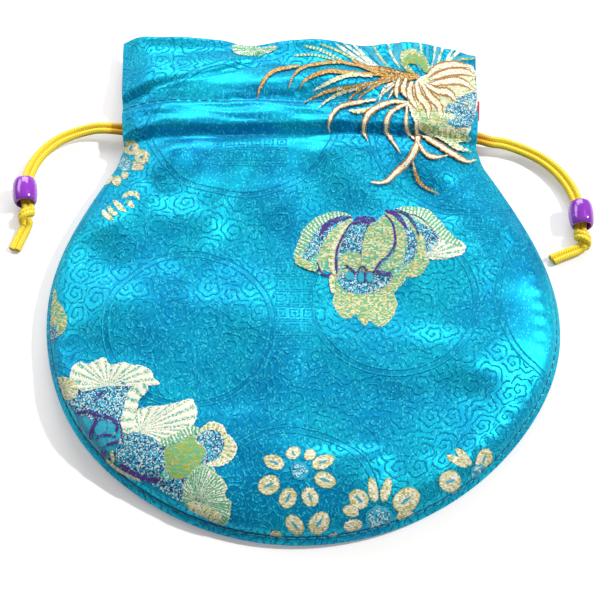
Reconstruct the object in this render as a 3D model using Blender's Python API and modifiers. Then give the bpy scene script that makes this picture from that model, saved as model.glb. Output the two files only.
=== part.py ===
"""Kinchaku pouch: a small round-bottomed drawstring bag of brocade, lined with red satin.

The pouch lies on its back on the plane z = 0, with its mouth towards +Y and its front panel up.
The origin is under the middle of the bag. Lengths are in metres.
"""

import math

import bmesh
import bpy
from mathutils import Vector

# Outline of the bag, seen from above
BELLY_HALF_WIDTH = 0.0591
BELLY_Y = -0.009
BOTTOM_Y = -0.066
MOUTH_Y = 0.066
NECK_Y = 0.034
NECK_HALF_WIDTH = 0.0432
MOUTH_HALF_WIDTH = 0.0456

# Cloth
BROCADE = 0.0005
LINING = 0.0004
GAP = 0.0003
SLACK = 0.00015

# Heights of the two linings: the front one is domed, the back one is nearly flat
SEAM_Z = 0.0033
FRONT_EDGE_Z = 0.0026
BODY_TOP_Z = 0.0092
DOME_REACH = 0.030
CASING_SIDE_Z = 0.0040
MOUTH_SIDE_Z = 0.0030
NECK_TOP_Z = 0.00815

# Casing that the cords run in, between two rows of stitches
LOWER_STITCH_Y = 0.0346
UPPER_STITCH_Y = 0.0454
CASING_RISE_LENGTH = 0.0020
FOLD_FADE_LENGTH = 0.0060
SEAM_END_Y = 0.0280
SLIT_OPEN_Y = 0.0345

# Cords, beads and knots
CORD = 0.0015
STRAND_PITCH = 0.0016
LEFT_ROW_Y = 0.0412
RIGHT_ROW_Y = 0.0386
ROW_STEP = 0.0013
LEFT_ARC_CENTRE = (-0.0502, 0.0249)
LEFT_ARC_RADIUS = 0.0169
LEFT_BEAD_ANGLE = 187
LEFT_EXIT_ANGLE = 82
LEFT_TAIL_END = (-0.0685, 0.0078)
RIGHT_ARC_CENTRE = (0.0466, 0.0163)
RIGHT_ARC_RADIUS = 0.02125
RIGHT_BEAD_ANGLE = 0
RIGHT_EXIT_ANGLE = 88
RIGHT_TAIL_END = (0.0596, 0.0074)
PAIR_TILTS = (10, 60, 35, 30, 45, 60)
CASING_ENTRY_X = 0.0395
FAR_TURN_X = 0.0416
BEAD_LENGTH = 0.0066
BEAD_DIAMETER = 0.0061
BEAD_END_DIAMETER = 0.0047
BEAD_BORE = 0.0041
KNOT_LENGTH = 0.0046
KNOT_WIDTH = 0.0046
KNOT_HEIGHT = 0.0040
TAIL_SPREAD = 0.9
CORD_POINT_STEP = 2.6 * CORD
CASING_POINTS = 10
ARC_STEPS = 12
BEAD_TURN_STEPS = 24
BEAD_PROFILE_STEPS = 8
MERGE_DISTANCE = 0.00001

# Sewing thread
THREAD = 0.0003
SEAM_THREAD = 0.0004
SEAM_SIDE_POINTS = 20
SEAM_BOTTOM_POINTS = 16

# Sewn edge, as (inset from the outline, height above or below the seam) for the first three rings
FRONT_EDGE_RINGS = ((0.0012, 0.00015), (0.0015, 0.0014), (0.0027, 0.0029))
BACK_EDGE_RINGS = ((0.0012, 0.00015), (0.0000, 0.0019), (0.0015, 0.00305))
RING_INSETS = (0.0, 0.0008, 0.0022, 0.0050)
LINING_INSETS = (0.0030, 0.0080)
LINING_SLIT_INSET = 0.0048
HEM = 0.0012

# Grid of cells that the cloth is bent on. The bottom's two corners lie CORNER from straight down
PANEL_COLUMNS = 20
LINING_COLUMNS = 12
EDGE_STEP = 0.0012
BODY_ROWS = 14
BODY_ROW_LENGTH = 0.0035
HEADER_ROWS = 6
LINING_ROWS = 8
CORNER = math.radians(45)
STRAIGHT_FROM = 0.62

# Folds of the front panel: start, end, half width, height
FRONT_FOLDS = (
    ((-0.040, 0.0590), (-0.026, 0.0650), 0.0060, 0.0024),
    ((-0.044, 0.0510), (0.004, 0.0640), 0.0032, 0.0018),
    ((0.014, 0.0500), (0.030, 0.0660), 0.0046, 0.0020),
    ((-0.010, 0.0500), (0.006, 0.0530), 0.0036, 0.0010),
    ((-0.030, 0.0290), (-0.044, 0.0100), 0.0042, 0.0013),
    ((-0.014, 0.0290), (-0.030, -0.0020), 0.0060, 0.0011),
    ((0.009, 0.0290), (0.024, 0.0080), 0.0056, 0.0012),
    ((0.031, 0.0280), (0.048, 0.0080), 0.0046, 0.0013),
    ((0.051, -0.0060), (0.030, -0.0480), 0.0080, 0.0012),
    ((-0.042, -0.0120), (-0.004, -0.0180), 0.0090, 0.0014),
    ((0.020, 0.0020), (0.048, 0.0000), 0.0090, 0.0011),
    ((0.012, -0.0540), (-0.028, -0.0500), 0.0060, 0.0009),
)

TURQUOISE = (0.010, 0.420, 0.640, 1.0)
RED = (0.520, 0.018, 0.022, 1.0)
YELLOW = (0.930, 0.620, 0.020, 1.0)
PURPLE = (0.240, 0.050, 0.520, 1.0)
PALE_THREAD = (0.300, 0.680, 0.760, 1.0)


def clear_scene():
    for obj in list(bpy.data.objects):
        bpy.data.objects.remove(obj, do_unlink=True)


def make_collection(name):
    collection = bpy.data.collections.new(name)
    bpy.context.scene.collection.children.link(collection)
    return collection


def make_material(name, colour, roughness):
    material = bpy.data.materials.new(name)
    material.use_nodes = True
    shader = material.node_tree.nodes["Principled BSDF"]
    shader.inputs["Base Color"].default_value = colour
    shader.inputs["Roughness"].default_value = roughness
    shader.inputs["Metallic"].default_value = 0.0
    return material


def smooth_step(low, high, value):
    """0 below low, 1 above high, and an even curve between."""
    t = min(max((value - low) / (high - low), 0.0), 1.0)
    return t * t * (3 - 2 * t)


def half_width(y):
    """Half the bag's width at height y: a round belly, a shoulder and a header that opens a little."""
    if y <= BELLY_Y:
        drop = (BELLY_Y - y) / (BELLY_Y - BOTTOM_Y)
        return BELLY_HALF_WIDTH * math.sqrt(max(1 - drop * drop, 0.0))
    if y <= NECK_Y:
        shoulder = math.sin(math.pi / 2 * (NECK_Y - y) / (NECK_Y - BELLY_Y))
        return NECK_HALF_WIDTH + (BELLY_HALF_WIDTH - NECK_HALF_WIDTH) * shoulder
    header = min((y - NECK_Y) / (MOUTH_Y - NECK_Y), 1.0)
    return NECK_HALF_WIDTH + (MOUTH_HALF_WIDTH - NECK_HALF_WIDTH) * header**0.7


def side_y(v):
    """Height on the side edge at v, from 0 at the bottom's corner to 1 at the mouth."""
    corner_y = BELLY_Y - (BELLY_Y - BOTTOM_Y) * math.cos(CORNER)
    return corner_y + (MOUTH_Y - corner_y) * v


def side_v(y):
    """The inverse of side_y."""
    return (y - side_y(0)) / (side_y(1) - side_y(0))


def plan(u, v, inset):
    """Place of a grid point, with the whole grid drawn in from the outline by inset.

    u runs from -1 to 1 across the bag, and v from 0 at the bottom to 1 at the mouth.
    """
    y = side_y(v)
    x = half_width(y) * math.sin(CORNER * u) / math.sin(CORNER)
    x *= 1 - inset / half_width(max(y, BELLY_Y))
    depth = (BELLY_Y - BOTTOM_Y) * (math.cos(CORNER * u) - math.cos(CORNER))
    y -= depth * max(1 - v / STRAIGHT_FROM, 0.0) ** 2
    if y < BELLY_Y:
        y = BELLY_Y + (y - BELLY_Y) * (1 - inset / (BELLY_Y - BOTTOM_Y))
    return x, y


def edge_distance(x, y):
    """How far inside the outline a point lies, measured along the line from the belly's middle."""
    if y < BELLY_Y:
        reach = math.hypot(x / BELLY_HALF_WIDTH, (y - BELLY_Y) / (BELLY_Y - BOTTOM_Y))
        return max(1 - reach, 0.0) * BELLY_HALF_WIDTH
    return max(half_width(y) - abs(x), 0.0)


def sewn(y):
    """1 where the two panels are sewn together at their edge, 0 where the sides are open."""
    return 1 - smooth_step(SEAM_END_Y, SLIT_OPEN_Y, y)


def casing(y):
    """1 inside the casing, 0 at its two rows of stitches and outside them."""
    rise = smooth_step(LOWER_STITCH_Y, LOWER_STITCH_Y + CASING_RISE_LENGTH, y)
    fall = smooth_step(UPPER_STITCH_Y - CASING_RISE_LENGTH, UPPER_STITCH_Y, y)
    return rise * (1 - fall)


def front_lining_z(x, y):
    """Top of the front lining."""
    inward = min(edge_distance(x, y) / DOME_REACH, 1.0)
    body = FRONT_EDGE_Z + (BODY_TOP_Z - FRONT_EDGE_Z) * math.sqrt(1 - (1 - inward) ** 2.2)
    opening = smooth_step(UPPER_STITCH_Y, MOUTH_Y, y)
    side = CASING_SIDE_Z + (MOUTH_SIDE_Z - CASING_SIDE_Z) * opening
    across = min(abs(x) / half_width(max(y, BELLY_Y)), 1.0)
    neck = side + (NECK_TOP_Z - side) * (1 - across**4) ** 0.8
    return neck + (body - neck) * sewn(y)


def back_lining_z(x, y):
    """Underside of the back lining, which is lifted where the cords pass below it."""
    flat = BROCADE + GAP + SLACK
    lifted = flat + CORD + GAP
    into_neck = smooth_step(BELLY_Y, LOWER_STITCH_Y, y)
    out_of_neck = smooth_step(UPPER_STITCH_Y, MOUTH_Y, y)
    return flat + (lifted - flat) * into_neck * (1 - out_of_neck)


def fold_height(x, y):
    """Height of the soft folds over a point: each is a low rounded ridge along a line."""
    height = 0.0
    for start, end, width, top in FRONT_FOLDS:
        along_x = end[0] - start[0]
        along_y = end[1] - start[1]
        along = ((x - start[0]) * along_x + (y - start[1]) * along_y) / (along_x**2 + along_y**2)
        t = min(max(along, 0.0), 1.0)
        away = math.hypot(x - start[0] - t * along_x, y - start[1] - t * along_y)
        height += top * math.exp(-((away / width) ** 2))
    return height


def front_panel_z(x, y):
    """Top of the front panel, over its lining, its folds and the cords in the casing."""
    under = BROCADE + GAP + SLACK + (CORD + GAP) * casing(y)
    near_stitches = min(abs(y - LOWER_STITCH_Y), abs(y - UPPER_STITCH_Y))
    loose = smooth_step(0.0, FOLD_FADE_LENGTH, near_stitches)
    return front_lining_z(x, y) + under + fold_height(x, y) * loose


def back_panel_z(x, y):
    """Underside of the back panel. It rests on z = 0 and rises to the casing's stitches."""
    under = BROCADE + GAP + SLACK + (CORD + GAP) * casing(y)
    return max(back_lining_z(x, y) - under, 0.0)


def grid_columns(count, rings):
    """Values of u across the bag: narrow steps at the two sides, and even ones between."""
    step = EDGE_STEP * math.tan(CORNER) / (BELLY_HALF_WIDTH * CORNER)
    near = [1 - index * step for index in range(rings)]
    last = near[-1] - 2 * step
    inner = [-last + 2 * last * index / count for index in range(count + 1)]
    return [-u for u in near] + inner + near[::-1]


def panel_rows():
    """Values of v up a brocade panel: sewn edge, body, casing and header."""
    rings = [side_y(0) + index * EDGE_STEP for index in range(len(RING_INSETS))]
    first = rings[-1] + 2 * EDGE_STEP
    body_length = LOWER_STITCH_Y - BODY_ROW_LENGTH - first
    body = [first + body_length * index / BODY_ROWS for index in range(BODY_ROWS + 1)]
    middle = (LOWER_STITCH_Y + UPPER_STITCH_Y) / 2
    channel = [LOWER_STITCH_Y, LOWER_STITCH_Y + CASING_RISE_LENGTH, middle]
    channel += [UPPER_STITCH_Y - CASING_RISE_LENGTH, UPPER_STITCH_Y]
    header_length = MOUTH_Y - UPPER_STITCH_Y
    header = [UPPER_STITCH_Y + header_length * (index + 1) / HEADER_ROWS for index in range(HEADER_ROWS)]
    return [side_v(y) for y in rings + body + channel + header]


def lining_rows():
    """Values of v up a lining, which stops short of the sewn edge and of the mouth."""
    first = side_y(0) + 3 * EDGE_STEP
    body_length = LOWER_STITCH_Y - first
    body = [first + body_length * index / LINING_ROWS for index in range(LINING_ROWS + 1)]
    header_length = MOUTH_Y - HEM - UPPER_STITCH_Y
    header = [UPPER_STITCH_Y + header_length * index / 3 for index in range(4)]
    middle = (LOWER_STITCH_Y + UPPER_STITCH_Y) / 2
    return [side_v(y) for y in [side_y(0), side_y(0) + EDGE_STEP] + body + [middle] + header]


def snap_to_ring(column, row, columns, rows, ring_count):
    """The ring that a grid point is in, counted from the edge, and its u and v on that ring."""
    side_ring = min(column, len(columns) - 1 - column)
    ring = min(side_ring, row)
    u = columns[column]
    v = rows[row]
    if ring < ring_count and side_ring <= row:
        u = math.copysign(1, u)
    if ring < ring_count and row <= side_ring:
        v = 0
    return ring, u, v


def make_shell(name, columns, rows, place, thickness, collection, material, upward):
    """Cloth bent on a grid: place gives the point of each column and row."""
    mesh = bpy.data.meshes.new(name)
    shape = bmesh.new()
    bmesh.ops.create_grid(shape, x_segments=len(columns) - 1, y_segments=len(rows) - 1, size=1.0)
    for vertex in shape.verts:
        column = round((vertex.co.x + 1) / 2 * (len(columns) - 1))
        row = round((vertex.co.y + 1) / 2 * (len(rows) - 1))
        vertex.co = Vector(place(column, row))
    if not upward:
        bmesh.ops.reverse_faces(shape, faces=shape.faces)
    shape.to_mesh(mesh)
    shape.free()
    shell = bpy.data.objects.new(name, mesh)
    collection.objects.link(shell)
    mesh.materials.append(material)
    mesh.shade_smooth()
    wall = shell.modifiers.new("cloth", "SOLIDIFY")
    wall.thickness = thickness
    wall.offset = -1.0
    return shell


def panel_place(edge_rings, seam_side, surface_z, columns, rows):
    """Gives the place function of a brocade panel, whose first rings follow the sewn edge."""

    def place(column, row):
        ring, u, v = snap_to_ring(column, row, columns, rows, len(RING_INSETS))
        inset = RING_INSETS[min(ring, len(RING_INSETS) - 1)]
        held = sewn(side_y(v))
        if ring >= len(edge_rings):
            x, y = plan(u, v, inset)
            return x, y, surface_z(x, y)
        x, y = plan(u, v, inset + (edge_rings[ring][0] - inset) * held)
        z = surface_z(x, y)
        return x, y, z + (SEAM_Z + seam_side * edge_rings[ring][1] - z) * held

    return place


def lining_place(edge_z, surface_z, columns, rows):
    """Gives the place function of a lining, whose outer ring is drawn to the seam."""

    def place(column, row):
        ring, u, v = snap_to_ring(column, row, columns, rows, len(LINING_INSETS))
        held = sewn(side_y(v))
        inset = LINING_INSETS[min(ring, len(LINING_INSETS) - 1)]
        x, y = plan(u, v, inset if ring else LINING_SLIT_INSET + (inset - LINING_SLIT_INSET) * held)
        z = surface_z(x, y)
        return x, y, z + (edge_z - z) * held if ring == 0 else z

    return place


def make_cloth(collection, brocade, satin):
    columns = grid_columns(PANEL_COLUMNS, len(RING_INSETS))
    rows = panel_rows()
    front = panel_place(FRONT_EDGE_RINGS, 1, front_panel_z, columns, rows)
    back = panel_place(BACK_EDGE_RINGS, -1, back_panel_z, columns, rows)
    make_shell("front_panel", columns, rows, front, BROCADE, collection, brocade, True)
    make_shell("back_panel", columns, rows, back, BROCADE, collection, brocade, False)
    columns = grid_columns(LINING_COLUMNS, len(LINING_INSETS))
    rows = lining_rows()
    half_gap = GAP / 2
    front = lining_place(SEAM_Z + half_gap + LINING, front_lining_z, columns, rows)
    back = lining_place(SEAM_Z - half_gap - LINING, back_lining_z, columns, rows)
    make_shell("front_lining", columns, rows, front, LINING, collection, satin, True)
    make_shell("back_lining", columns, rows, back, LINING, collection, satin, False)


def make_tube(name, points, diameter, bevel_resolution, collection, material):
    """A round cord or thread with filled ends along a list of points."""
    curve = bpy.data.curves.new(name, "CURVE")
    curve.dimensions = "3D"
    curve.bevel_depth = diameter / 2
    curve.bevel_resolution = bevel_resolution
    curve.use_fill_caps = True
    spline = curve.splines.new("POLY")
    spline.points.add(len(points) - 1)
    for point, place in zip(spline.points, points):
        point.co = (*place, 1.0)
    curve.materials.append(material)
    tube = bpy.data.objects.new(name, curve)
    collection.objects.link(tube)
    return tube


def make_casing_stitching(collection, material):
    """A row of stitches lies on the outer face of the panel, above and below the cords."""
    columns = grid_columns(PANEL_COLUMNS, len(RING_INSETS))[len(RING_INSETS):-len(RING_INSETS)]
    core = RING_INSETS[-1]
    across = [(-1, RING_INSETS[-2]), (-1, core)] + [(u, core) for u in columns]
    across += [(1, core), (1, RING_INSETS[-2])]
    for panel, surface_z, side in (("front", front_panel_z, 1), ("back", back_panel_z, -1)):
        for row, row_y in (("lower", LOWER_STITCH_Y), ("upper", UPPER_STITCH_Y)):
            points = []
            for u, inset in across:
                x, y = plan(u, side_v(row_y), inset)
                points.append((x, y, surface_z(x, y) + side * (GAP + THREAD / 2)))
            make_tube(f"{panel}_{row}_stitching", points, THREAD, 1, collection, material)


def make_edge_seam_thread(collection, material):
    """The thread that joins the panels runs round the edge from one slit to the other."""
    inset = FRONT_EDGE_RINGS[0][0] - GAP - SEAM_THREAD / 2
    step = (SEAM_END_Y - side_y(0)) / SEAM_SIDE_POINTS
    side = [side_v(side_y(0) + step * index) for index in range(SEAM_SIDE_POINTS)]
    ends = [(-1, v) for v in reversed(side)]
    ends += [(-1 + 2 * index / SEAM_BOTTOM_POINTS, 0) for index in range(1, SEAM_BOTTOM_POINTS)]
    ends += [(1, v) for v in side]
    points = [(*plan(u, v, inset), SEAM_Z + SEAM_THREAD / 4) for u, v in ends]
    make_tube("edge_seam_thread", points, SEAM_THREAD, 1, collection, material)


def on_arc(centre, radius, degrees, z):
    """A point on a level circle."""
    angle = math.radians(degrees)
    return Vector((centre[0] + radius * math.cos(angle), centre[1] + radius * math.sin(angle), z))


def smooth_curve(points, spacing):
    """Points at an even spacing on the smooth curve through the given ones."""
    dense = []
    ends = [2 * points[0] - points[1]] + list(points) + [2 * points[-1] - points[-2]]
    for before, start, end, after in zip(ends, ends[1:], ends[2:], ends[3:]):
        for step in range(ARC_STEPS):
            t = step / ARC_STEPS
            curve = 2 * start + (end - before) * t
            curve += (2 * before - 5 * start + 4 * end - after) * t**2
            curve += (3 * start - before - 3 * end + after) * t**3
            dense.append(curve / 2)
    dense.append(points[-1])
    length = sum((b - a).length for a, b in zip(dense, dense[1:]))
    count = round(length / spacing)
    even = [dense[0]]
    travelled = 0.0
    for a, b in zip(dense, dense[1:]):
        piece = (b - a).length
        while len(even) < count and travelled + piece >= length * len(even) / count:
            even.append(a.lerp(b, (length * len(even) / count - travelled) / piece))
        travelled += piece
    even.append(dense[-1])
    return even


def pair_tilt(part):
    """How far the two strands are turned about each other, from the knot at 0 to the casing at 1."""
    at = part * (len(PAIR_TILTS) - 1)
    index = min(int(at), len(PAIR_TILTS) - 2)
    return math.radians(PAIR_TILTS[index] + (PAIR_TILTS[index + 1] - PAIR_TILTS[index]) * (at - index))


def make_drawcord(name, side, row_y, centre, radius, knot_angle, exit_angle, collection, material):
    """One cord: from its knot through the bead, round the casing and back to the knot.

    Side is -1 for the cord that comes out on the left and 1 for the one on the right.
    """
    front = []
    back = []
    for index in range(ARC_STEPS + 1):
        part = index / ARC_STEPS
        degrees = knot_angle + (exit_angle - knot_angle) * part
        middle = on_arc(centre, radius, degrees, BEAD_DIAMETER / 2)
        out = on_arc((0, 0), 1, degrees, 0)
        tilt = pair_tilt(part)
        offset = (out * math.cos(tilt) + Vector((0, 0, 1)) * math.sin(tilt)) * STRAND_PITCH / 2
        front.append(middle + offset)
        back.append(middle - offset)
    front_y = row_y + ROW_STEP
    back_y = row_y - ROW_STEP
    clear = GAP + CORD / 2 + SLACK / 2
    across = [1 - 2 * index / (CASING_POINTS - 1) for index in range(CASING_POINTS)]
    casing_x = [side * CASING_ENTRY_X * share for share in across]
    front += [Vector((x, front_y, front_lining_z(x, front_y) + clear)) for x in casing_x]
    back += [Vector((x, back_y, back_lining_z(x, back_y) - clear)) for x in casing_x]
    turn = (front[-1] + back[-1]) / 2
    turn.x = -side * FAR_TURN_X
    loop = front + [turn] + back[::-1]
    make_tube(name, smooth_curve(loop, CORD_POINT_STEP), CORD, 2, collection, material)


def make_bead(name, centre, radius, degrees, collection, material):
    """A barrel bead, turned round its bore. Its parent stands on the axis that it travels about."""
    pivot = bpy.data.objects.new(name + "_pivot", None)
    pivot.location = (*centre, BEAD_DIAMETER / 2)
    pivot.rotation_euler = (0, 0, math.radians(degrees))
    collection.objects.link(pivot)
    profile = bmesh.new()
    outer = []
    for index in range(BEAD_PROFILE_STEPS + 1):
        t = 1 - 2 * index / BEAD_PROFILE_STEPS
        swell = (BEAD_DIAMETER - BEAD_END_DIAMETER) / 2 * math.sqrt(1 - t * t)
        outer.append((BEAD_END_DIAMETER / 2 + swell, t * BEAD_LENGTH / 2))
    bore = [(BEAD_BORE / 2, t * BEAD_LENGTH / 2) for t in (-1, 0, 1)]
    points = [profile.verts.new((r, 0, z)) for r, z in outer + bore]
    for start, end in zip(points, points[1:] + points[:1]):
        profile.edges.new((start, end))
    mesh = bpy.data.meshes.new(name)
    profile.to_mesh(mesh)
    profile.free()
    mesh.materials.append(material)
    bead = bpy.data.objects.new(name, mesh)
    bead.parent = pivot
    bead.location = (radius, 0, 0)
    bead.rotation_euler = (math.radians(90), 0, 0)
    collection.objects.link(bead)
    turned = bead.modifiers.new("turned", "SCREW")
    turned.steps = BEAD_TURN_STEPS
    turned.render_steps = BEAD_TURN_STEPS
    turned.use_smooth_shade = True
    turned.use_merge_vertices = True
    turned.merge_threshold = MERGE_DISTANCE


def make_knot(name, centre, radius, degrees, forward, tail_end, collection, material):
    """The overhand knot that both strands end in, with its two cut tails."""
    heading = on_arc((0, 0), 1, degrees + 90 * forward, 0)
    reach = BEAD_LENGTH / 2 + GAP + KNOT_LENGTH / 2
    middle = on_arc(centre, radius, degrees, KNOT_HEIGHT / 2 + SLACK) + heading * reach
    lump = bmesh.new()
    bmesh.ops.create_uvsphere(lump, u_segments=14, v_segments=8, radius=1)
    bmesh.ops.scale(lump, vec=(KNOT_LENGTH / 2, KNOT_WIDTH / 2, KNOT_HEIGHT / 2), verts=lump.verts)
    mesh = bpy.data.meshes.new(name)
    lump.to_mesh(mesh)
    lump.free()
    mesh.materials.append(material)
    mesh.shade_smooth()
    knot = bpy.data.objects.new(name, mesh)
    knot.location = middle
    knot.rotation_euler = (0, 0, math.atan2(heading.y, heading.x))
    collection.objects.link(knot)
    along = (Vector((*tail_end, middle.z)) - middle).normalized()
    across = Vector((-along.y, along.x, 0)) * STRAND_PITCH / 2
    for index, side in enumerate((-1, 1)):
        tip = Vector((*tail_end, CORD / 2 + SLACK)) + across * side
        root = middle + across * side * TAIL_SPREAD
        tail = bmesh.new()
        bmesh.ops.create_cone(tail, cap_ends=True, segments=10, radius1=CORD / 2, radius2=CORD / 2,
                              depth=(tip - root).length)
        tail_mesh = bpy.data.meshes.new(name + "_tail")
        tail.to_mesh(tail_mesh)
        tail.free()
        tail_object = bpy.data.objects.new(f"{name}_tail_{index}", tail_mesh)
        tail_object.location = (root + tip) / 2
        tail_object.rotation_euler = (tip - root).to_track_quat("Z", "Y").to_euler()
        tail_object.hide_render = True
        tail_object.display_type = "WIRE"
        bpy.data.collections["joined_shapes"].objects.link(tail_object)
        joined = knot.modifiers.new(f"tail_{index}", "BOOLEAN")
        joined.operation = "UNION"
        joined.object = tail_object


def make_cord_end(side_name, side, row_y, centre, radius, bead_angle, exit_angle, tail_end, collection,
                  braid, plastic):
    """A drawcord with the bead that slides on it and the knot that keeps the bead on."""
    forward = 1 if bead_angle > exit_angle else -1
    cord_end = math.degrees((BEAD_LENGTH / 2 + GAP) / radius)
    knot_angle = bead_angle + forward * cord_end
    make_drawcord(side_name + "_drawcord", side, row_y, centre, radius, knot_angle, exit_angle,
                  collection, braid)
    make_bead(side_name + "_bead", centre, radius, bead_angle, collection, plastic)
    make_knot(side_name + "_knot", centre, radius, bead_angle, forward, tail_end, collection, braid)


def main():
    clear_scene()
    pouch = make_collection("kinchaku_pouch")
    make_collection("joined_shapes")
    brocade = make_material("turquoise brocade", TURQUOISE, 0.38)
    satin = make_material("red satin", RED, 0.40)
    braid = make_material("yellow braid", YELLOW, 0.70)
    plastic = make_material("purple plastic", PURPLE, 0.12)
    thread = make_material("pale thread", PALE_THREAD, 0.55)
    make_cloth(pouch, brocade, satin)
    make_casing_stitching(pouch, thread)
    make_edge_seam_thread(pouch, thread)
    make_cord_end("left", -1, LEFT_ROW_Y, LEFT_ARC_CENTRE, LEFT_ARC_RADIUS, LEFT_BEAD_ANGLE,
                  LEFT_EXIT_ANGLE, LEFT_TAIL_END, pouch, braid, plastic)
    make_cord_end("right", 1, RIGHT_ROW_Y, RIGHT_ARC_CENTRE, RIGHT_ARC_RADIUS, RIGHT_BEAD_ANGLE,
                  RIGHT_EXIT_ANGLE, RIGHT_TAIL_END, pouch, braid, plastic)


main()
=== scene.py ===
import math

import bmesh
import bpy
import numpy as np
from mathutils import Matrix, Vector
from mathutils.bvhtree import BVHTree


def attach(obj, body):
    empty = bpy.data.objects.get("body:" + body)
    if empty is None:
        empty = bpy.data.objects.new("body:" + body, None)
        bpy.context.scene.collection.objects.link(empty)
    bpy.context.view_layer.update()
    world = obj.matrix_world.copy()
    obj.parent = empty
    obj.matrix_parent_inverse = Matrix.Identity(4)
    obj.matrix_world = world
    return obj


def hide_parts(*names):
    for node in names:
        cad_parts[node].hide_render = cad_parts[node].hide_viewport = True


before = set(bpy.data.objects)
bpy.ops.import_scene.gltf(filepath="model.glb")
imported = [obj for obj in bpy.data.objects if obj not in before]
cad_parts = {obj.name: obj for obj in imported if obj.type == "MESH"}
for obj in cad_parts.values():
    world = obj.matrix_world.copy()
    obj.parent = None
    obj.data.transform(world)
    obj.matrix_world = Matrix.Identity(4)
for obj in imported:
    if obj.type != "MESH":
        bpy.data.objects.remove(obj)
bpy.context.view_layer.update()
MM = 0.001


# The table top, the light and the camera
# The pouch lies on a white table top in a pale room, with low sun at the right, a wide window behind it, a
# second window at the left and a bright ceiling. The camera looks down at it from its bottom end.
PHOTO_SIZE = 600
VIEW_ELEVATION = math.radians(62)
VIEW_DISTANCE = 0.33
VIEW_TARGET = Vector((0, -0.0075, 0.004))
LENS = 85
SENSOR = 36
WINDOW_ELEVATION = math.radians(45)
WINDOW_AZIMUTH = math.radians(13)
LAMP_DISTANCE = 0.8
ROOM_LIGHT = 0.25
FLOOR_HALF = 3.0
FLOOR_Z = -0.00005
FLOOR_GLOW = 0.20
FLOOR_WHITE = 0.76
FLOOR_GREY = 0.22


def make_nodes(tree, kind, inputs=(), **settings):
    """Adds a node and fills its sockets: a node or a socket is linked, anything else is its value."""
    node = tree.nodes.new(kind)
    for name, value in settings.items():
        setattr(node, name, value)
    for name, value in dict(inputs).items():
        if isinstance(value, bpy.types.Node):
            value = value.outputs[0]
        if isinstance(value, bpy.types.NodeSocket):
            tree.links.new(value, node.inputs[name])
        else:
            node.inputs[name].default_value = value
    return node


def math_node(tree, operation, first, second=0.0, third=0.0):
    return make_nodes(tree, "ShaderNodeMath", {0: first, 1: second, 2: third}, operation=operation).outputs[0]


def add_object(name, data):
    thing = bpy.data.objects.new(name, data)
    bpy.context.scene.collection.objects.link(thing)
    return thing


camera_data = bpy.data.cameras.new("camera")
camera_data.lens = LENS
camera_data.sensor_width = SENSOR
camera = add_object("camera", camera_data)
view_side = Vector((0, -math.cos(VIEW_ELEVATION), math.sin(VIEW_ELEVATION)))
camera.location = VIEW_TARGET + VIEW_DISTANCE * view_side
camera.rotation_euler = (math.pi / 2 - VIEW_ELEVATION, 0, 0)
bpy.context.scene.camera = camera
bpy.context.scene.view_settings.view_transform = "Standard"

floor_mesh = bpy.data.meshes.new("table_top")
floor_corners = [(x * FLOOR_HALF, y * FLOOR_HALF, FLOOR_Z) for x, y in ((-1, -1), (1, -1), (1, 1), (-1, 1))]
floor_mesh.from_pydata(floor_corners, [], [(0, 1, 2, 3)])
floor = add_object("table_top", floor_mesh)

floor_material = bpy.data.materials.new("white table top")
floor_material.use_nodes = True
tree = floor_material.node_tree
tree.nodes.clear()
rays = make_nodes(tree, "ShaderNodeLightPath")
seen = math_node(tree, "MAXIMUM", rays.outputs["Is Camera Ray"], rays.outputs["Is Glossy Ray"])
seen = math_node(tree, "MAXIMUM", seen, rays.outputs["Is Transmission Ray"])
glow = math_node(tree, "MULTIPLY", seen, FLOOR_GLOW)
glow = make_nodes(tree, "ShaderNodeEmission", {"Color": (1, 0.92, 0.89, 1), "Strength": glow})
white = math_node(tree, "MULTIPLY_ADD", seen, FLOOR_WHITE, FLOOR_GREY)
lit = make_nodes(tree, "ShaderNodeBsdfDiffuse", {"Color": white})
both = make_nodes(tree, "ShaderNodeAddShader", {0: glow, 1: lit})
make_nodes(tree, "ShaderNodeOutputMaterial", {"Surface": both})
floor_mesh.materials.append(floor_material)

world = bpy.data.worlds.new("pale room")
bpy.context.scene.world = world
world.use_nodes = True
tree = world.node_tree
tree.nodes.clear()
rays = make_nodes(tree, "ShaderNodeLightPath")
strength = math_node(tree, "MULTIPLY_ADD", rays.outputs["Is Camera Ray"], 1 - ROOM_LIGHT, ROOM_LIGHT)
sky = make_nodes(tree, "ShaderNodeBackground", {"Color": (1, 1, 1, 1), "Strength": strength})
make_nodes(tree, "ShaderNodeOutputWorld", {"Surface": sky})


def aim_lamp(name, kind, towards, distance, energy, **settings):
    """A lamp that shines at the pouch from the direction towards."""
    data = bpy.data.lights.new(name, kind)
    data.energy = energy
    for setting, value in settings.items():
        setattr(data, setting, value)
    lamp = add_object(name, data)
    lamp.location = towards.normalized() * distance
    lamp.rotation_euler = towards.to_track_quat("Z", "Y").to_euler()


window_side = Vector((math.cos(WINDOW_AZIMUTH), math.sin(WINDOW_AZIMUTH), math.tan(WINDOW_ELEVATION)))
aim_lamp("window", "SUN", window_side, 1.0, 2.45, angle=math.radians(3), color=(1, 0.985, 0.96))
for name, side, energy, wide, high in (("bright_ceiling", (0.45, 0.3, 0.85), 0.25, 0.30, 0.20),
                                       ("second_window", (-0.75, 0.55, 0.60), 1.6, 0.40, 0.30),
                                       ("far_window", (-0.05, 0.84, 0.54), 4.0, 0.60, 0.36)):
    aim_lamp(name, "AREA", Vector(side), LAMP_DISTANCE, energy, shape="RECTANGLE", size=wide, size_y=high)


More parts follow.
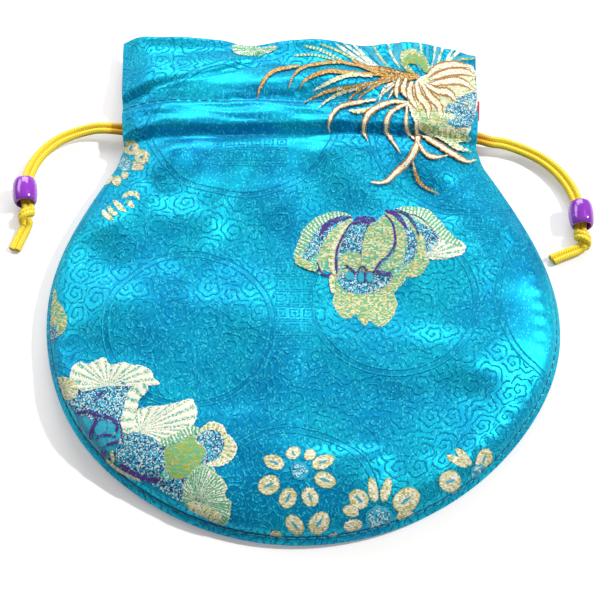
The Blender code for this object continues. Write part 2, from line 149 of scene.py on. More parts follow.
# The turquoise brocade of the two panels
# Each panel is a silk-like figured satin: a warp-faced ground with tone-on-tone cloud curls and rings. The
# panels are cut to one outline, hemmed at the mouth, and sewn together round the belly up to the two slits.
BELLY_HALF_WIDTH = 59.1 * MM
BELLY_Y = -9.0 * MM
BOTTOM_Y = -66.0 * MM
MOUTH_Y = 66.0 * MM
NECK_Y = 34.0 * MM
NECK_HALF_WIDTH = 43.2 * MM
MOUTH_HALF_WIDTH = 45.6 * MM
BROCADE = 0.5 * MM
LINING = 0.4 * MM
CLOTH_GAP = 0.45 * MM
CORD = 1.5 * MM
CORD_ROOM = CORD + 0.3 * MM
SEAM_Z = 3.3 * MM
FRONT_EDGE_Z = 2.6 * MM
BODY_TOP_Z = 9.2 * MM
DOME_REACH = 30.0 * MM
CASING_SIDE_Z = 4.0 * MM
MOUTH_SIDE_Z = 3.0 * MM
NECK_TOP_Z = 8.15 * MM
LOWER_STITCH_Y = 34.6 * MM
UPPER_STITCH_Y = 45.4 * MM
CASING_RISE_LENGTH = 2.0 * MM
SEAM_END_Y = 28.0 * MM
SLIT_OPEN_Y = 34.5 * MM
CORNER = math.radians(45)
STRAIGHT_FROM = 0.62
HEADER_FLARE = 0.7
BODY_ROUNDNESS = 2.2
ARCH_FLATNESS = 4
ARCH_FALL = 0.8


def smooth_step(low, high, value):
    t = np.clip((value - low) / (high - low), 0, 1)
    return t * t * (3 - 2 * t)


def smooth_through(points, count):
    """Points at even steps along the smooth curve through the given ones (Catmull-Rom)."""
    points = np.asarray(points, float)
    ends = np.vstack((2 * points[0] - points[1], points, 2 * points[-1] - points[-2]))
    at = np.linspace(0, len(points) - 1, count)
    part = np.minimum(at.astype(int), len(points) - 2)
    t = (at - part)[:, None]
    before, start, end, after = ends[part], ends[part + 1], ends[part + 2], ends[part + 3]
    curve = 2 * start + (end - before) * t + (2 * before - 5 * start + 4 * end - after) * t**2
    return (curve + (3 * start - before - 3 * end + after) * t**3) / 2


def half_width(y):
    """Half the bag's width at height y: a round belly, a shoulder, and a header that opens a little."""
    drop = np.clip((BELLY_Y - y) / (BELLY_Y - BOTTOM_Y), 0, 1)
    shoulder = np.sin(np.pi / 2 * np.clip((NECK_Y - y) / (NECK_Y - BELLY_Y), 0, 1))
    header = np.clip((y - NECK_Y) / (MOUTH_Y - NECK_Y), 0, 1) ** HEADER_FLARE
    upper = NECK_HALF_WIDTH + (BELLY_HALF_WIDTH - NECK_HALF_WIDTH) * shoulder
    upper = upper + (MOUTH_HALF_WIDTH - NECK_HALF_WIDTH) * header
    return np.where(y <= BELLY_Y, BELLY_HALF_WIDTH * np.sqrt(1 - drop**2), upper)


def side_y(v):
    """The height of a side's point, v of the way from the bottom's corner to the mouth."""
    corner_y = BELLY_Y - (BELLY_Y - BOTTOM_Y) * math.cos(CORNER)
    return corner_y + (MOUTH_Y - corner_y) * v


def plan(u, v, inset):
    """The place of a point seen from above: u runs across from -1 to 1, and v up from the bottom to 1."""
    y = side_y(v)
    x = half_width(y) * np.sin(CORNER * u) / math.sin(CORNER)
    x = x * (1 - inset / half_width(np.maximum(y, BELLY_Y)))
    depth = (BELLY_Y - BOTTOM_Y) * (np.cos(CORNER * u) - math.cos(CORNER))
    y = y - depth * np.maximum(1 - v / STRAIGHT_FROM, 0) ** 2
    drawn_in = BELLY_Y + (y - BELLY_Y) * (1 - inset / (BELLY_Y - BOTTOM_Y))
    return x, np.where(y < BELLY_Y, drawn_in, y)


# The belly bulges at its right side, its lower left rim curls up from the table, and the mouth's left corner
# is drawn out
BULGE = 1.8 * MM
BULGE_Y = -22.0 * MM
BULGE_REACH = 24.0 * MM
CURL = 2.6 * MM
CURL_SPREAD = -0.60
CURL_PLACE = (-53.0 * MM, -40.0 * MM)
CURL_REACH = (16.0 * MM, 17.0 * MM)
CORNER_REACH = 1.7 * MM
CORNER_WIDTH = 6 * MM
CORNER_HEIGHT = 9 * MM


def settled(x, y, z):
    """The finished points of a sheet, moved with the bulge, the curl and the drawn-out corner."""
    out = BULGE * np.exp(-((y - BULGE_Y) / BULGE_REACH) ** 2) * np.maximum(x, 0) / BELLY_HALF_WIDTH
    off_x, off_y = (x - CURL_PLACE[0]) / CURL_REACH[0], (y - CURL_PLACE[1]) / CURL_REACH[1]
    curl = CURL * np.exp(-off_x**2 - off_y**2)
    at_corner = np.exp(-((x + MOUTH_HALF_WIDTH) / CORNER_WIDTH) ** 2)
    corner = CORNER_REACH * at_corner * smooth_step(MOUTH_Y - CORNER_HEIGHT, MOUTH_Y, y)
    return np.stack((x + out, y + CURL_SPREAD * curl + corner, z + curl), axis=-1)


def edge_distance(x, y):
    """How far inside the outline a point lies."""
    reach = np.hypot(x / BELLY_HALF_WIDTH, (y - BELLY_Y) / (BELLY_Y - BOTTOM_Y))
    below = (1 - reach) * BELLY_HALF_WIDTH
    return np.maximum(np.where(y < BELLY_Y, below, half_width(y) - np.abs(x)), 0)


def sewn(y):
    """1 where the two panels are sewn together, and 0 at the slits."""
    return 1 - smooth_step(SEAM_END_Y, SLIT_OPEN_Y, y)


def casing(y):
    """1 between the two rows of stitches, where the cords need room."""
    rise = smooth_step(LOWER_STITCH_Y, LOWER_STITCH_Y + CASING_RISE_LENGTH, y)
    return rise * (1 - smooth_step(UPPER_STITCH_Y - CASING_RISE_LENGTH, UPPER_STITCH_Y, y))


# How high the front's mouth edge lies, in millimetres: place across, height
MOUTH_EDGE = (
    (-45.6, 5.4), (-41.5, 7.2), (-36, 8.2), (-27, 8.0), (-19, 6.6), (-12, 5.2), (-3, 7.6), (8, 7.4),
    (16, 5.4), (24, 6.3), (30, 6.1), (38, 3.6), (45.6, 2.4),
)


def arch(across):
    """The rounded rise of the open neck, from 1 in the middle to 0 at its sides."""
    return (1 - across**ARCH_FLATNESS) ** ARCH_FALL


def mouth_sag(x, y):
    """The header slumps from its upright arch to the wavy line of its mouth edge."""
    knots = smooth_through(MOUTH_EDGE, 160) * MM
    across = np.minimum(np.abs(x) / MOUTH_HALF_WIDTH, 1)
    upright = MOUTH_SIDE_Z + BROCADE + CLOTH_GAP + (NECK_TOP_Z - MOUTH_SIDE_Z) * arch(across)
    drop = np.interp(x, knots[:, 0], knots[:, 1]) - upright
    return drop * smooth_step(UPPER_STITCH_Y + 3 * MM, MOUTH_Y - 2 * MM, y)


def front_lining_top(x, y):
    inward = np.minimum(edge_distance(x, y) / DOME_REACH, 1)
    body = FRONT_EDGE_Z + (BODY_TOP_Z - FRONT_EDGE_Z) * np.sqrt(1 - (1 - inward) ** BODY_ROUNDNESS)
    side = CASING_SIDE_Z + (MOUTH_SIDE_Z - CASING_SIDE_Z) * smooth_step(UPPER_STITCH_Y, MOUTH_Y, y)
    across = np.minimum(np.abs(x) / half_width(np.maximum(y, BELLY_Y)), 1)
    neck = side + (NECK_TOP_Z - side) * arch(across)
    return neck + (body - neck) * sewn(y) + mouth_sag(x, y)


def back_lining_under(x, y):
    flat = BROCADE + CLOTH_GAP
    lift = smooth_step(BELLY_Y, LOWER_STITCH_Y, y) * (1 - smooth_step(UPPER_STITCH_Y, MOUTH_Y, y))
    return flat + CORD_ROOM * lift + 0 * x


# Ridges and creases of the front, in millimetres: how wide above its line and below it, height, then the
# points of the line. The main ones fade at the stitches and the mouth
MAIN_FOLDS = (
    (8.5, 1.8, 2.6, (-46, 49.4), (-29, 52.4), (-20, 56.0), (-13, 61)),
    (4.6, 4.6, 2.0, (14, 50), (30, 66)), (3.6, 3.6, 1.0, (-10, 50), (6, 53)),
    (4.2, 4.2, 1.3, (-30, 29), (-44, 10)), (6.0, 6.0, 1.1, (-14, 27), (-30, -2)),
    (5.6, 5.6, 1.2, (9, 27), (24, 8)), (4.6, 4.6, 1.3, (31, 26), (48, 8)),
    (8.0, 8.0, 0.4, (51, -6), (30, -48)), (9.0, 9.0, 1.4, (-42, -12), (-4, -18)),
    (9.0, 9.0, 1.1, (20, 2), (48, 0)), (6.0, 6.0, 0.9, (12, -54), (-28, -50)),
    (8.0, 8.0, 1.4, (0, -27), (34, -24)), (6.0, 6.0, 0.9, (-16, 20), (-2, 18)),
    (5.0, 5.0, 1.0, (-50, 12), (-38, 6)),
)
FINE_FOLDS = (
    (5.5, 1.0, 0.7, (-13, 47.0), (-2, 48.4)), (0.8, 5.5, 1.6, (-36, 48.6), (-26, 50.8), (-13, 55.4)),
    (0.9, 9.0, 2.6, (-36, 34.0), (38, 33.6)), (1.0, 1.0, -0.5, (-40, 44.4), (-18, 44.4)),
    (1.3, 1.3, -0.45, (-8, 45.2), (10, 46.4)), (2.4, 1.5, 0.6, (-46, 65.4), (-20, 65.4)),
    (6.5, 1.2, 1.6, (-44, 37.0), (-24, 37.0), (-4, 37.4), (20, 37.0), (44, 36.0)),
    (0.7, 0.7, -0.5, (-36, 35.4), (-14, 35.4), (0, 36.8)), (0.7, 0.7, -0.4, (-27, 33.4), (2, 34.6)),
    (1.8, 1.8, -0.4, (-42, 28.5), (-33, 18.0)), (2.6, 2.6, -0.35, (-9, 27.0), (-17, 12.0)),
    (2.4, 2.4, -0.4, (22, 27.0), (34, 12.0)), (3.4, 3.4, -0.45, (-50, 3.0), (-40, -4.0)),
    (2.6, 2.6, 0.4, (-48, -16.0), (-40, -21.0)), (6.0, 6.0, -0.6, (14, -40.0), (38, -38.0)),
    (5.0, 5.0, -0.55, (2, -44.0), (30, -42.0)), (5.0, 5.0, -0.4, (-16, 2.0), (-6, -6.0)),
    (4.0, 4.0, -0.35, (8, 14.0), (26, 11.0)), (3.4, 3.4, 0.4, (-34, 12.0), (-22, 9.0)),
    (3.0, 3.0, -0.4, (-52, -22.0), (-30, -44.0)), (2.8, 2.8, 0.4, (-12, -47.0), (16, -49.0)),
    (3.0, 3.0, 0.35, (28, 20.0), (36, 24.0)), (2.4, 2.4, -0.5, (-4, 60.0), (8, 62.0)),
    (1.8, 1.8, -0.6, (20, 58.0), (24, 65.0)), (2.4, 2.4, 0.7, (34, 52.0), (40, 64.0)),
)
FOLD_FADE_LENGTH = 4.0 * MM
DEEPEST_FOLD = 0.42 * MM
MOUTH_FADE_LENGTH = 9 * MM
SIDE_DROP = 1.5 * MM
SIDE_DROP_WIDTH = 7 * MM
PUCKERED_Y = 40 * MM
PUCKERED_REACH = 9 * MM


def ridge_height(x, y, ridges):
    """Each fold is a low rounded ridge, or a hollow, along a line."""
    height = 0 * x
    for width_above, width_below, top, *points in ridges:
        away = np.full(np.shape(x), np.inf)
        width = np.full(np.shape(x), width_above * MM)
        for start, end in zip(points, points[1:]):
            start, end = np.array(start) * MM, np.array(end) * MM
            along = end - start
            t = np.clip(((x - start[0]) * along[0] + (y - start[1]) * along[1]) / (along @ along), 0, 1)
            off_x, off_y = x - start[0] - t * along[0], y - start[1] - t * along[1]
            distance = np.hypot(off_x, off_y)
            side = np.where(along[0] * off_y - along[1] * off_x < 0, width_below * MM, width_above * MM)
            width = np.where(distance < away, side, width)
            away = np.minimum(away, distance)
        height = height + top * MM * np.exp(-((away / width) ** 2))
    return height


# Small waves of the loose cloth, in millimetres: wave length, direction in degrees, start, height
RIPPLES = ((23, 20, 0.4, 0.22), (17, 105, 2.1, 0.18), (13, 62, 4.0, 0.11), (9.5, 150, 1.2, 0.07),
           (31, 80, 5.1, 0.25), (7.1, 95, 3.3, 0.035))
CASING_PUCKERS = ((3.1, 84, 0.0, 0.10), (4.7, 98, 1.7, 0.12), (2.3, 78, 4.4, 0.05))


def ripple_height(x, y, ripples):
    """The sum of the waves, whose lines bend a little so that they don't look ruled."""
    height = 0 * x
    for length, direction, start, top in ripples:
        turn = math.radians(direction)
        wave = (x * math.cos(turn) + y * math.sin(turn)) * 2 * math.pi / (length * MM) + start
        bent = wave + 0.9 * np.sin(x * 110 + start) + 0.7 * np.sin(y * 90 - start)
        height = height + top * MM * np.sin(bent)
    return height


def front_panel_top(x, y):
    near_stitches = np.minimum(np.abs(y - LOWER_STITCH_Y), np.abs(y - UPPER_STITCH_Y))
    loose = smooth_step(0, FOLD_FADE_LENGTH, near_stitches)
    base = front_lining_top(x, y) + BROCADE + CLOTH_GAP + CORD_ROOM * casing(y)
    inner = smooth_step(3 * MM, 14 * MM, edge_distance(x, y))
    neck = np.exp(-(((y - PUCKERED_Y) / PUCKERED_REACH) ** 2))
    waves = ripple_height(x, y, RIPPLES) * inner + ripple_height(x, y, CASING_PUCKERS) * neck
    fine = ridge_height(x, y, FINE_FOLDS) * smooth_step(0, 4 * MM, edge_distance(x, y))
    main = ridge_height(x, y, MAIN_FOLDS) * loose
    main = main * (1 - smooth_step(MOUTH_Y - MOUTH_FADE_LENGTH, MOUTH_Y, y))
    height = main + waves + fine
    flat_side = 1 - smooth_step(0, SIDE_DROP_WIDTH, edge_distance(x, y))
    base = base - SIDE_DROP * (flat_side * smooth_step(UPPER_STITCH_Y, 50 * MM, y))
    return base + np.where(height < 0, DEEPEST_FOLD * np.tanh(height / DEEPEST_FOLD), height)


def back_panel_under(x, y):
    return np.maximum(back_lining_under(x, y) - BROCADE - CLOTH_GAP - CORD_ROOM * casing(y), 0)


# Rolled edge of a sewn panel, in millimetres in from the outline and up from the seam, and the edge at a slit
FRONT_ROLL = np.array(((1.2, 0.15), (1.5, 1.4), (2.7, 2.9), (5.0, 4.04)))
BACK_ROLL = np.array(((1.2, -0.15), (0.0, -1.9), (1.5, -3.05), (5.0, -3.3)))
OPEN_INSETS = np.array((0.0, 0.6, 2.2, 5.0))
EDGE_ROUNDING = 0.35 * MM
PUCKER_LENGTH = 4.3 * MM
PUCKER_HEIGHT = 0.08 * MM
PANEL_RING_STEP = 0.0004


def ringed_places(columns, rows, rings, ring_step, side_step, low, high):
    """Where the points of a sheet lie across and up, and which of the rings along its edge each is in."""
    edge = 1 - ring_step * np.arange(rings)
    u = np.linspace(-edge[-1] + side_step, edge[-1] - side_step, columns)
    u = np.concatenate((-edge, u, edge[::-1]))
    v = np.concatenate((ring_step * np.arange(rings), np.linspace(low, high, rows)))
    column, row = np.meshgrid(np.arange(len(u)), np.arange(len(v)))
    side_ring = np.minimum(column, len(u) - 1 - column)
    ring = np.minimum(side_ring, row)
    in_ring = ring < rings
    u, v = u[column], v[row]
    u = np.where(in_ring & (side_ring <= row), np.sign(u), u)
    v = np.where(in_ring & (row <= side_ring), 0, v)
    return u, v, np.minimum(ring, rings - 1)


def sheet_grid(columns, rows, rings, roll, surface):
    """The points of a panel, in rows and columns. Its outer rings follow the rolled edge."""
    first_row = PANEL_RING_STEP * rings + 0.004
    u, v, index = ringed_places(columns, rows, rings, PANEL_RING_STEP, 0.012, first_row, 1)
    held = sewn(side_y(v))
    profile = smooth_through(roll, rings)[index] * MM
    open_inset = smooth_through(OPEN_INSETS[:, None], rings)[index, 0] * MM
    x, y = plan(u, v, open_inset + (profile[..., 0] - open_inset) * held)
    z = surface(x, y)
    to_profile = held * (1 - smooth_step(rings * 0.66, rings - 1, index))
    along = np.arctan2(x, BELLY_Y - y) * BELLY_HALF_WIDTH
    pucker = np.sin(2 * np.pi * along / PUCKER_LENGTH + 1.3 * np.sin(along * 140))
    fade = np.exp(-((edge_distance(x, y) - 4 * MM) / (2.4 * MM)) ** 2) * held
    z = z + pucker * PUCKER_HEIGHT * fade * (roll[-1, 1] > 0)
    z = z + (SEAM_Z + profile[..., 1] - z) * to_profile
    return settled(x, y, z)


def round_off(grid, side):
    """Turns the free edges at the mouth and the slits in a little, as a pressed hem is."""
    x, y = grid[..., 0], grid[..., 1]
    free = np.minimum(MOUTH_Y - y, np.where(y > SLIT_OPEN_Y, half_width(y) - np.abs(x), 1))
    t = np.clip(1 - free / EDGE_ROUNDING, 0, 1)
    grid[..., 2] -= side * EDGE_ROUNDING * (1 - np.sqrt(1 - t**2))
    return grid


def grid_cells(rows, columns):
    """The corners of each cell between the points of a grid."""
    index = np.arange(rows * columns).reshape(rows, columns)
    corners = (index[:-1, :-1], index[:-1, 1:], index[1:, 1:], index[1:, :-1])
    return np.stack(corners, axis=-1).reshape(-1, 4)


def grid_to_mesh(name, grid, material, flip=False):
    """A mesh of the grid's cells with a UV map that gives each point's place on the flat cloth, in metres."""
    rows, columns = grid.shape[:2]
    cells = grid_cells(rows, columns)
    if flip:
        cells = cells[:, ::-1]
    mesh = bpy.data.meshes.new(name)
    mesh.from_pydata(grid.reshape(-1, 3).tolist(), [], cells.tolist())
    across = np.cumsum(np.linalg.norm(np.diff(grid, axis=1, prepend=grid[:, :1]), axis=-1), axis=1)
    across = across - across[:, columns // 2, None]
    along = np.cumsum(np.linalg.norm(np.diff(grid, axis=0, prepend=grid[:1]), axis=-1), axis=0)
    along = along - along[rows // 2] + grid[rows // 2, :, 1]
    flat = np.stack((across, along), axis=-1).reshape(-1, 2)
    layer = mesh.uv_layers.new(name="flat_cloth")
    layer.uv.foreach_set("vector", flat[cells.reshape(-1)].astype(np.float32).ravel())
    mesh.materials.append(material)
    mesh.shade_smooth()
    return add_object(name, mesh)


def thicken(piece, thickness):
    """Gives a sheet its wall, on the side away from the faces."""
    wall = piece.modifiers.new("cloth", "SOLIDIFY")
    wall.thickness = thickness
    wall.offset = -1
    wall.use_rim = True


def vector_node(tree, operation, first, second=(0.0, 0.0, 0.0)):
    node = make_nodes(tree, "ShaderNodeVectorMath", {0: first, 1: second}, operation=operation)
    return node.outputs["Value" if operation in ("LENGTH", "DISTANCE", "DOT_PRODUCT") else "Vector"]


def soft_band(tree, value, low, high):
    """0 below low, 1 above high, and an even curve between."""
    limits = {"Value": value, "From Min": low, "From Max": high}
    return make_nodes(tree, "ShaderNodeMapRange", limits, interpolation_type="SMOOTHSTEP").outputs[0]


def distance_from(tree, value, goal):
    return math_node(tree, "ABSOLUTE", math_node(tree, "SUBTRACT", value, goal))


def mix_colour(tree, factor, first, second, blend="MIX"):
    node = make_nodes(tree, "ShaderNodeMix", data_type="RGBA", blend_type=blend)
    for socket, value in (("Factor_Float", factor), ("A_Color", first), ("B_Color", second)):
        target = next(s for s in node.inputs if s.identifier == socket)
        if isinstance(value, bpy.types.NodeSocket):
            tree.links.new(value, target)
        else:
            target.default_value = value
    return next(s for s in node.outputs if s.identifier == "Result_Color")


def new_material(name):
    material = bpy.data.materials.new(name)
    material.use_nodes = True
    tree = material.node_tree
    return material, tree, tree.nodes["Principled BSDF"]


def in_millimetres(tree, place):
    scaled = make_nodes(tree, "ShaderNodeVectorMath", {0: place, "Scale": 1 / MM}, operation="SCALE")
    return scaled.outputs["Vector"]


def flat_place(tree):
    """Millimetres on the flat cloth."""
    return in_millimetres(tree, make_nodes(tree, "ShaderNodeUVMap", uv_map="flat_cloth"))


# Rings of the damask ground, in millimetres on the cloth: centre, radius, and whether it holds plain satin
GROUND_RINGS = (
    ((-25.5, -18), 19.0, False), ((21.0, -11), 19.0, False), ((64.0, -11), 19.0, True),
    ((-14.0, 40), 23.0, True), ((-70.0, 26), 22.0, False), ((40.0, 36), 23.0, False),
    ((-2.0, -62), 19.0, False), ((-66.0, -44), 20.0, True),
)
# Square frets inside the rings, in millimetres: centre, then half the width and half the height
FRETS = (((-1.5, -12), (4.6, 12.5)), ((-12.5, 29.0), (9.5, 4.4)), ((42.5, 13.0), (4.0, 9.0)))
FRET_PITCH = (("X", 3.1), ("Y", 4.2))
FRET_LINE = 0.8
FRET_EDGE = 0.2
CLOUD_SIZE = 6.2
CLOUD_LINE = 1.5


def damask_pattern(tree, place):
    """The woven pattern of the ground: its fine lines, and the dark bands of its rings."""
    wander = make_nodes(tree, "ShaderNodeTexNoise", {"Vector": place, "Scale": 0.35, "Detail": 2.0})
    wander = vector_node(tree, "SUBTRACT", wander.outputs["Color"], (0.5, 0.5, 0.5))
    bent = vector_node(tree, "ADD", vector_node(tree, "MULTIPLY", wander, (1.5, 1.5, 0)), place)
    cloud_sizes = {"Vector": bent, "Scale": 1 / CLOUD_SIZE, "Randomness": 0.8}
    clouds = make_nodes(tree, "ShaderNodeTexVoronoi", cloud_sizes, voronoi_dimensions="2D")
    offset = vector_node(tree, "SUBTRACT", bent, clouds.outputs["Position"])
    parts = make_nodes(tree, "ShaderNodeSeparateXYZ", {0: offset})
    angle = math_node(tree, "ARCTAN2", parts.outputs["Y"], parts.outputs["X"])
    lobes = math_node(tree, "ABSOLUTE", math_node(tree, "SINE", math_node(tree, "MULTIPLY", angle, 2.5)))
    reach = math_node(tree, "MULTIPLY", clouds.outputs["Distance"], CLOUD_SIZE)
    scalloped = math_node(tree, "MULTIPLY", reach, math_node(tree, "MULTIPLY_ADD", lobes, -0.22, 1.1))
    phase = math_node(tree, "MULTIPLY_ADD", scalloped, 2 * math.pi / CLOUD_LINE, angle)
    lines = soft_band(tree, math_node(tree, "SINE", phase), 0.5, 0.95)
    bands = 0.0
    level = vector_node(tree, "MULTIPLY", place, (1, 1, 0))
    for centre, radius, plain in GROUND_RINGS:
        away = vector_node(tree, "DISTANCE", level, (*centre, 0))
        band = distance_from(tree, away, radius)
        clear = soft_band(tree, band, 1.0, 1.25)
        if plain:
            clear = math_node(tree, "MULTIPLY", clear, soft_band(tree, away, radius, radius + 0.2))
        lines = math_node(tree, "MULTIPLY", lines, clear)
        ring = math_node(tree, "SUBTRACT", 1.0, soft_band(tree, distance_from(tree, band, 0.72), 0.08, 0.26))
        lines = math_node(tree, "MAXIMUM", lines, ring)
        dark = math_node(tree, "SUBTRACT", 1.0, soft_band(tree, band, 0.30, 0.52))
        bands = math_node(tree, "MAXIMUM", bands, dark)
    steps = make_nodes(tree, "ShaderNodeSeparateXYZ", {0: place})
    for centre, halves in FRETS:
        within, boxes = [], []
        for (axis, pitch), middle, half in zip(FRET_PITCH, centre, halves):
            inner = math_node(tree, "SUBTRACT", half, distance_from(tree, steps.outputs[axis], middle))
            within.append(soft_band(tree, inner, 0.0, FRET_EDGE))
            share = math_node(tree, "FRACT", math_node(tree, "DIVIDE", steps.outputs[axis], pitch))
            boxes.append(math_node(tree, "MULTIPLY", distance_from(tree, share, 0.5), pitch))
        inside = math_node(tree, "MULTIPLY", *within)
        nest = math_node(tree, "MULTIPLY", math_node(tree, "MAXIMUM", *boxes), 2 * math.pi / FRET_LINE)
        key = soft_band(tree, math_node(tree, "SINE", nest), 0.0, 0.5)
        outside = math_node(tree, "MULTIPLY", lines, math_node(tree, "SUBTRACT", 1.0, inside))
        lines = math_node(tree, "ADD", outside, math_node(tree, "MULTIPLY", key, inside))
    return lines, bands


def weave_grain(tree, place, warp, weft):
    """A random value for each crossing of the threads, which lie warp and weft millimetres apart."""
    crossing = vector_node(tree, "DIVIDE", place, (warp, weft, 1.0))
    crossing = vector_node(tree, "FLOOR", crossing)
    noise = make_nodes(tree, "ShaderNodeTexWhiteNoise", {"Vector": crossing}, noise_dimensions="2D")
    return noise.outputs["Value"]


def make_brocade(name):
    """Satin with its figure, bright and dark crossings of the threads, painted glints on the brightest
    crossings, and a turquoise gloss.
    """
    material, tree, shader = new_material(name)
    place = flat_place(tree)
    lines, bands = damask_pattern(tree, place)
    grain = weave_grain(tree, place, 0.30, 0.42)
    tone = make_nodes(tree, "ShaderNodeTexNoise", {"Vector": place, "Scale": 0.045, "Detail": 3.0}).outputs[0]
    tone = soft_band(tree, tone, 0.35, 0.68)
    satin = mix_colour(tree, tone, (0.001, 0.180, 0.490, 1), (0.003, 0.390, 0.600, 1))
    satin = mix_colour(tree, math_node(tree, "MULTIPLY", bands, 0.55), satin, (0.001, 0.100, 0.340, 1))
    figure = mix_colour(tree, grain, (0.001, 0.120, 0.420, 1), (0.008, 0.380, 0.600, 1))
    colour = mix_colour(tree, math_node(tree, "MULTIPLY", lines, 0.90), satin, figure)
    # Painted glints: the brightest random crossings are lightened towards bright cyan, a painted highlight of
    # threads catching the light.
    painted_glint = soft_band(tree, grain, 0.80, 0.97)
    colour = mix_colour(tree, math_node(tree, "MULTIPLY", painted_glint, 0.44), colour, (0.080, 0.800, 0.900, 1))
    shade = soft_band(tree, grain, 0.26, 0.06)
    colour = mix_colour(tree, math_node(tree, "MULTIPLY", shade, 0.45), colour, (0.001, 0.080, 0.320, 1))
    tree.links.new(colour, shader.inputs["Base Color"])
    roughness = math_node(tree, "MULTIPLY_ADD", lines, 0.30, 0.38)
    roughness = math_node(tree, "MULTIPLY_ADD", grain, 0.10, roughness)
    tree.links.new(roughness, shader.inputs["Roughness"])
    shader.inputs["Metallic"].default_value = 0.40
    shader.inputs["IOR"].default_value = 2.4
    shader.inputs["Specular IOR Level"].default_value = 0.7
    shader.inputs["Specular Tint"].default_value = (0.03, 0.92, 0.86, 1)
    shader.inputs["Anisotropic"].default_value = 0.45
    shader.inputs["Sheen Weight"].default_value = 0.15
    shader.inputs["Sheen Roughness"].default_value = 0.35
    shader.inputs["Sheen Tint"].default_value = (0.02, 0.80, 1.0, 1)
    tangent = make_nodes(tree, "ShaderNodeTangent", direction_type="UV_MAP", uv_map="flat_cloth")
    tree.links.new(tangent.outputs[0], shader.inputs["Tangent"])
    relief = math_node(tree, "MULTIPLY_ADD", grain, 0.12, lines)
    bump = make_nodes(tree, "ShaderNodeBump", {"Height": relief, "Strength": 1.0, "Distance": 0.00020})
    tree.links.new(bump.outputs[0], shader.inputs["Normal"])
    return material


brocade = make_brocade("turquoise brocade")
PANEL_COLUMNS = 182
PANEL_ROWS = 188
EDGE_RINGS = 12
front_grid = sheet_grid(PANEL_COLUMNS, PANEL_ROWS, EDGE_RINGS, FRONT_ROLL, front_panel_top)
front_panel = grid_to_mesh("front_brocade_panel", round_off(front_grid, 1), brocade)
back_grid = sheet_grid(PANEL_COLUMNS // 2, PANEL_ROWS // 2, EDGE_RINGS, BACK_ROLL, back_panel_under)
back_panel = grid_to_mesh("back_brocade_panel", round_off(back_grid, -1), brocade, flip=True)
front_cloth = BVHTree.FromObject(front_panel, bpy.context.evaluated_depsgraph_get())

for piece, node, held, carriers in ((front_panel, "front_panel", "gathered", ["back_brocade_panel"]),
                                    (back_panel, "back_panel", "laid", [])):
    thicken(piece, BROCADE)
    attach(piece, "pouch")
    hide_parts(node)


# The woven flowers
# Coloured extra threads float over the satin and make the flowers: a long-petalled one at the mouth, a lotus,
# a peony, daisies and sprigs. Each is a thin layer of floats on the cloth, at its place in the photograph.
FLOAT_LIFT = 0.06 * MM
FLOAT_STEP = 0.010 * MM
FLOAT_ROW = 0.27
FLAT_PER_PIXEL = 0.25
FLOCK_RINGS = (1.0, 0.9, 0.79, 0.67, 0.54, 0.4, 0.25, 0.1, 0.0)
FLOAT_END = 1.3
UNEVEN = 0.42
CREAM = (0.760, 0.720, 0.420)
WHITE = (0.930, 0.930, 0.820)
STRAW = (0.480, 0.460, 0.130)
GREEN = (0.090, 0.480, 0.270)
LEAF = (0.300, 0.440, 0.060)
SEA = (0.060, 0.500, 0.420)
GOLD = (0.680, 0.360, 0.035)
BRONZE = (0.360, 0.150, 0.012)
BROWN = (0.150, 0.050, 0.006)
NAVY = (0.010, 0.008, 0.130)
VIOLET = (0.070, 0.006, 0.250)
TEAL = (0.002, 0.400, 0.600)
BRIGHT_TEAL = (0.002, 0.460, 0.640)
ICE = (0.600, 0.800, 0.780)
# Name: the three threads, up to which share the first and the second show, the rim's colour and width, the
# ribs' pitch in mm and depth, and the width and height of one crossing in mm
WEAVES = {
    "gold-edged": ((WHITE, CREAM, GOLD), 0.60, 0.93, BRONZE, 0.52, 0, 0, (0.30, 0.25)),
    "bronze": ((GOLD, BRONZE, CREAM), 0.50, 0.82, BROWN, 0.30, 0, 0, (0.30, 0.25)),
    "white": ((WHITE, CREAM, SEA), 0.60, 0.90, WHITE, 0.04, 2.5, 0.46, (0.26, 0.26)),
    "cream": ((CREAM, WHITE, LEAF), 0.42, 0.74, WHITE, 0.06, 1.5, 0.30, (0.46, 0.26)),
    "straw": ((CREAM, STRAW, GREEN), 0.36, 0.62, CREAM, 0.03, 0, 0, (0.44, 0.27)),
    "green": ((GREEN, LEAF, WHITE), 0.56, 0.68, CREAM, 0.03, 0.9, 0.42, (0.26, 0.26)),
    "petal": ((CREAM, WHITE, STRAW), 0.46, 0.78, STRAW, 0.08, 0, 0, (0.46, 0.25)),
    "leaf": ((LEAF, GREEN, STRAW), 0.48, 0.82, STRAW, 0.04, 0, 0, (0.44, 0.28)),
    "speckled": ((NAVY, ICE, TEAL), 0.30, 0.57, NAVY, 0.02, 0, 0, (0.26, 0.26)),
    "mixed": ((SEA, ICE, GREEN), 0.34, 0.66, CREAM, 0.03, 0, 0, (0.30, 0.28)),
    "violet": ((VIOLET, NAVY, TEAL), 0.64, 0.92, VIOLET, 0.20, 0, 0, (0.30, 0.25)),
    "teal": ((TEAL, BRIGHT_TEAL, SEA), 0.60, 0.94, VIOLET, 0.10, 0, 0, (0.30, 0.25)),
    "stamens": ((TEAL, ICE, NAVY), 0.62, 0.90, TEAL, 0.30, 0, 0, (0.30, 0.25)),
}
WEAVE_NAMES = list(WEAVES)


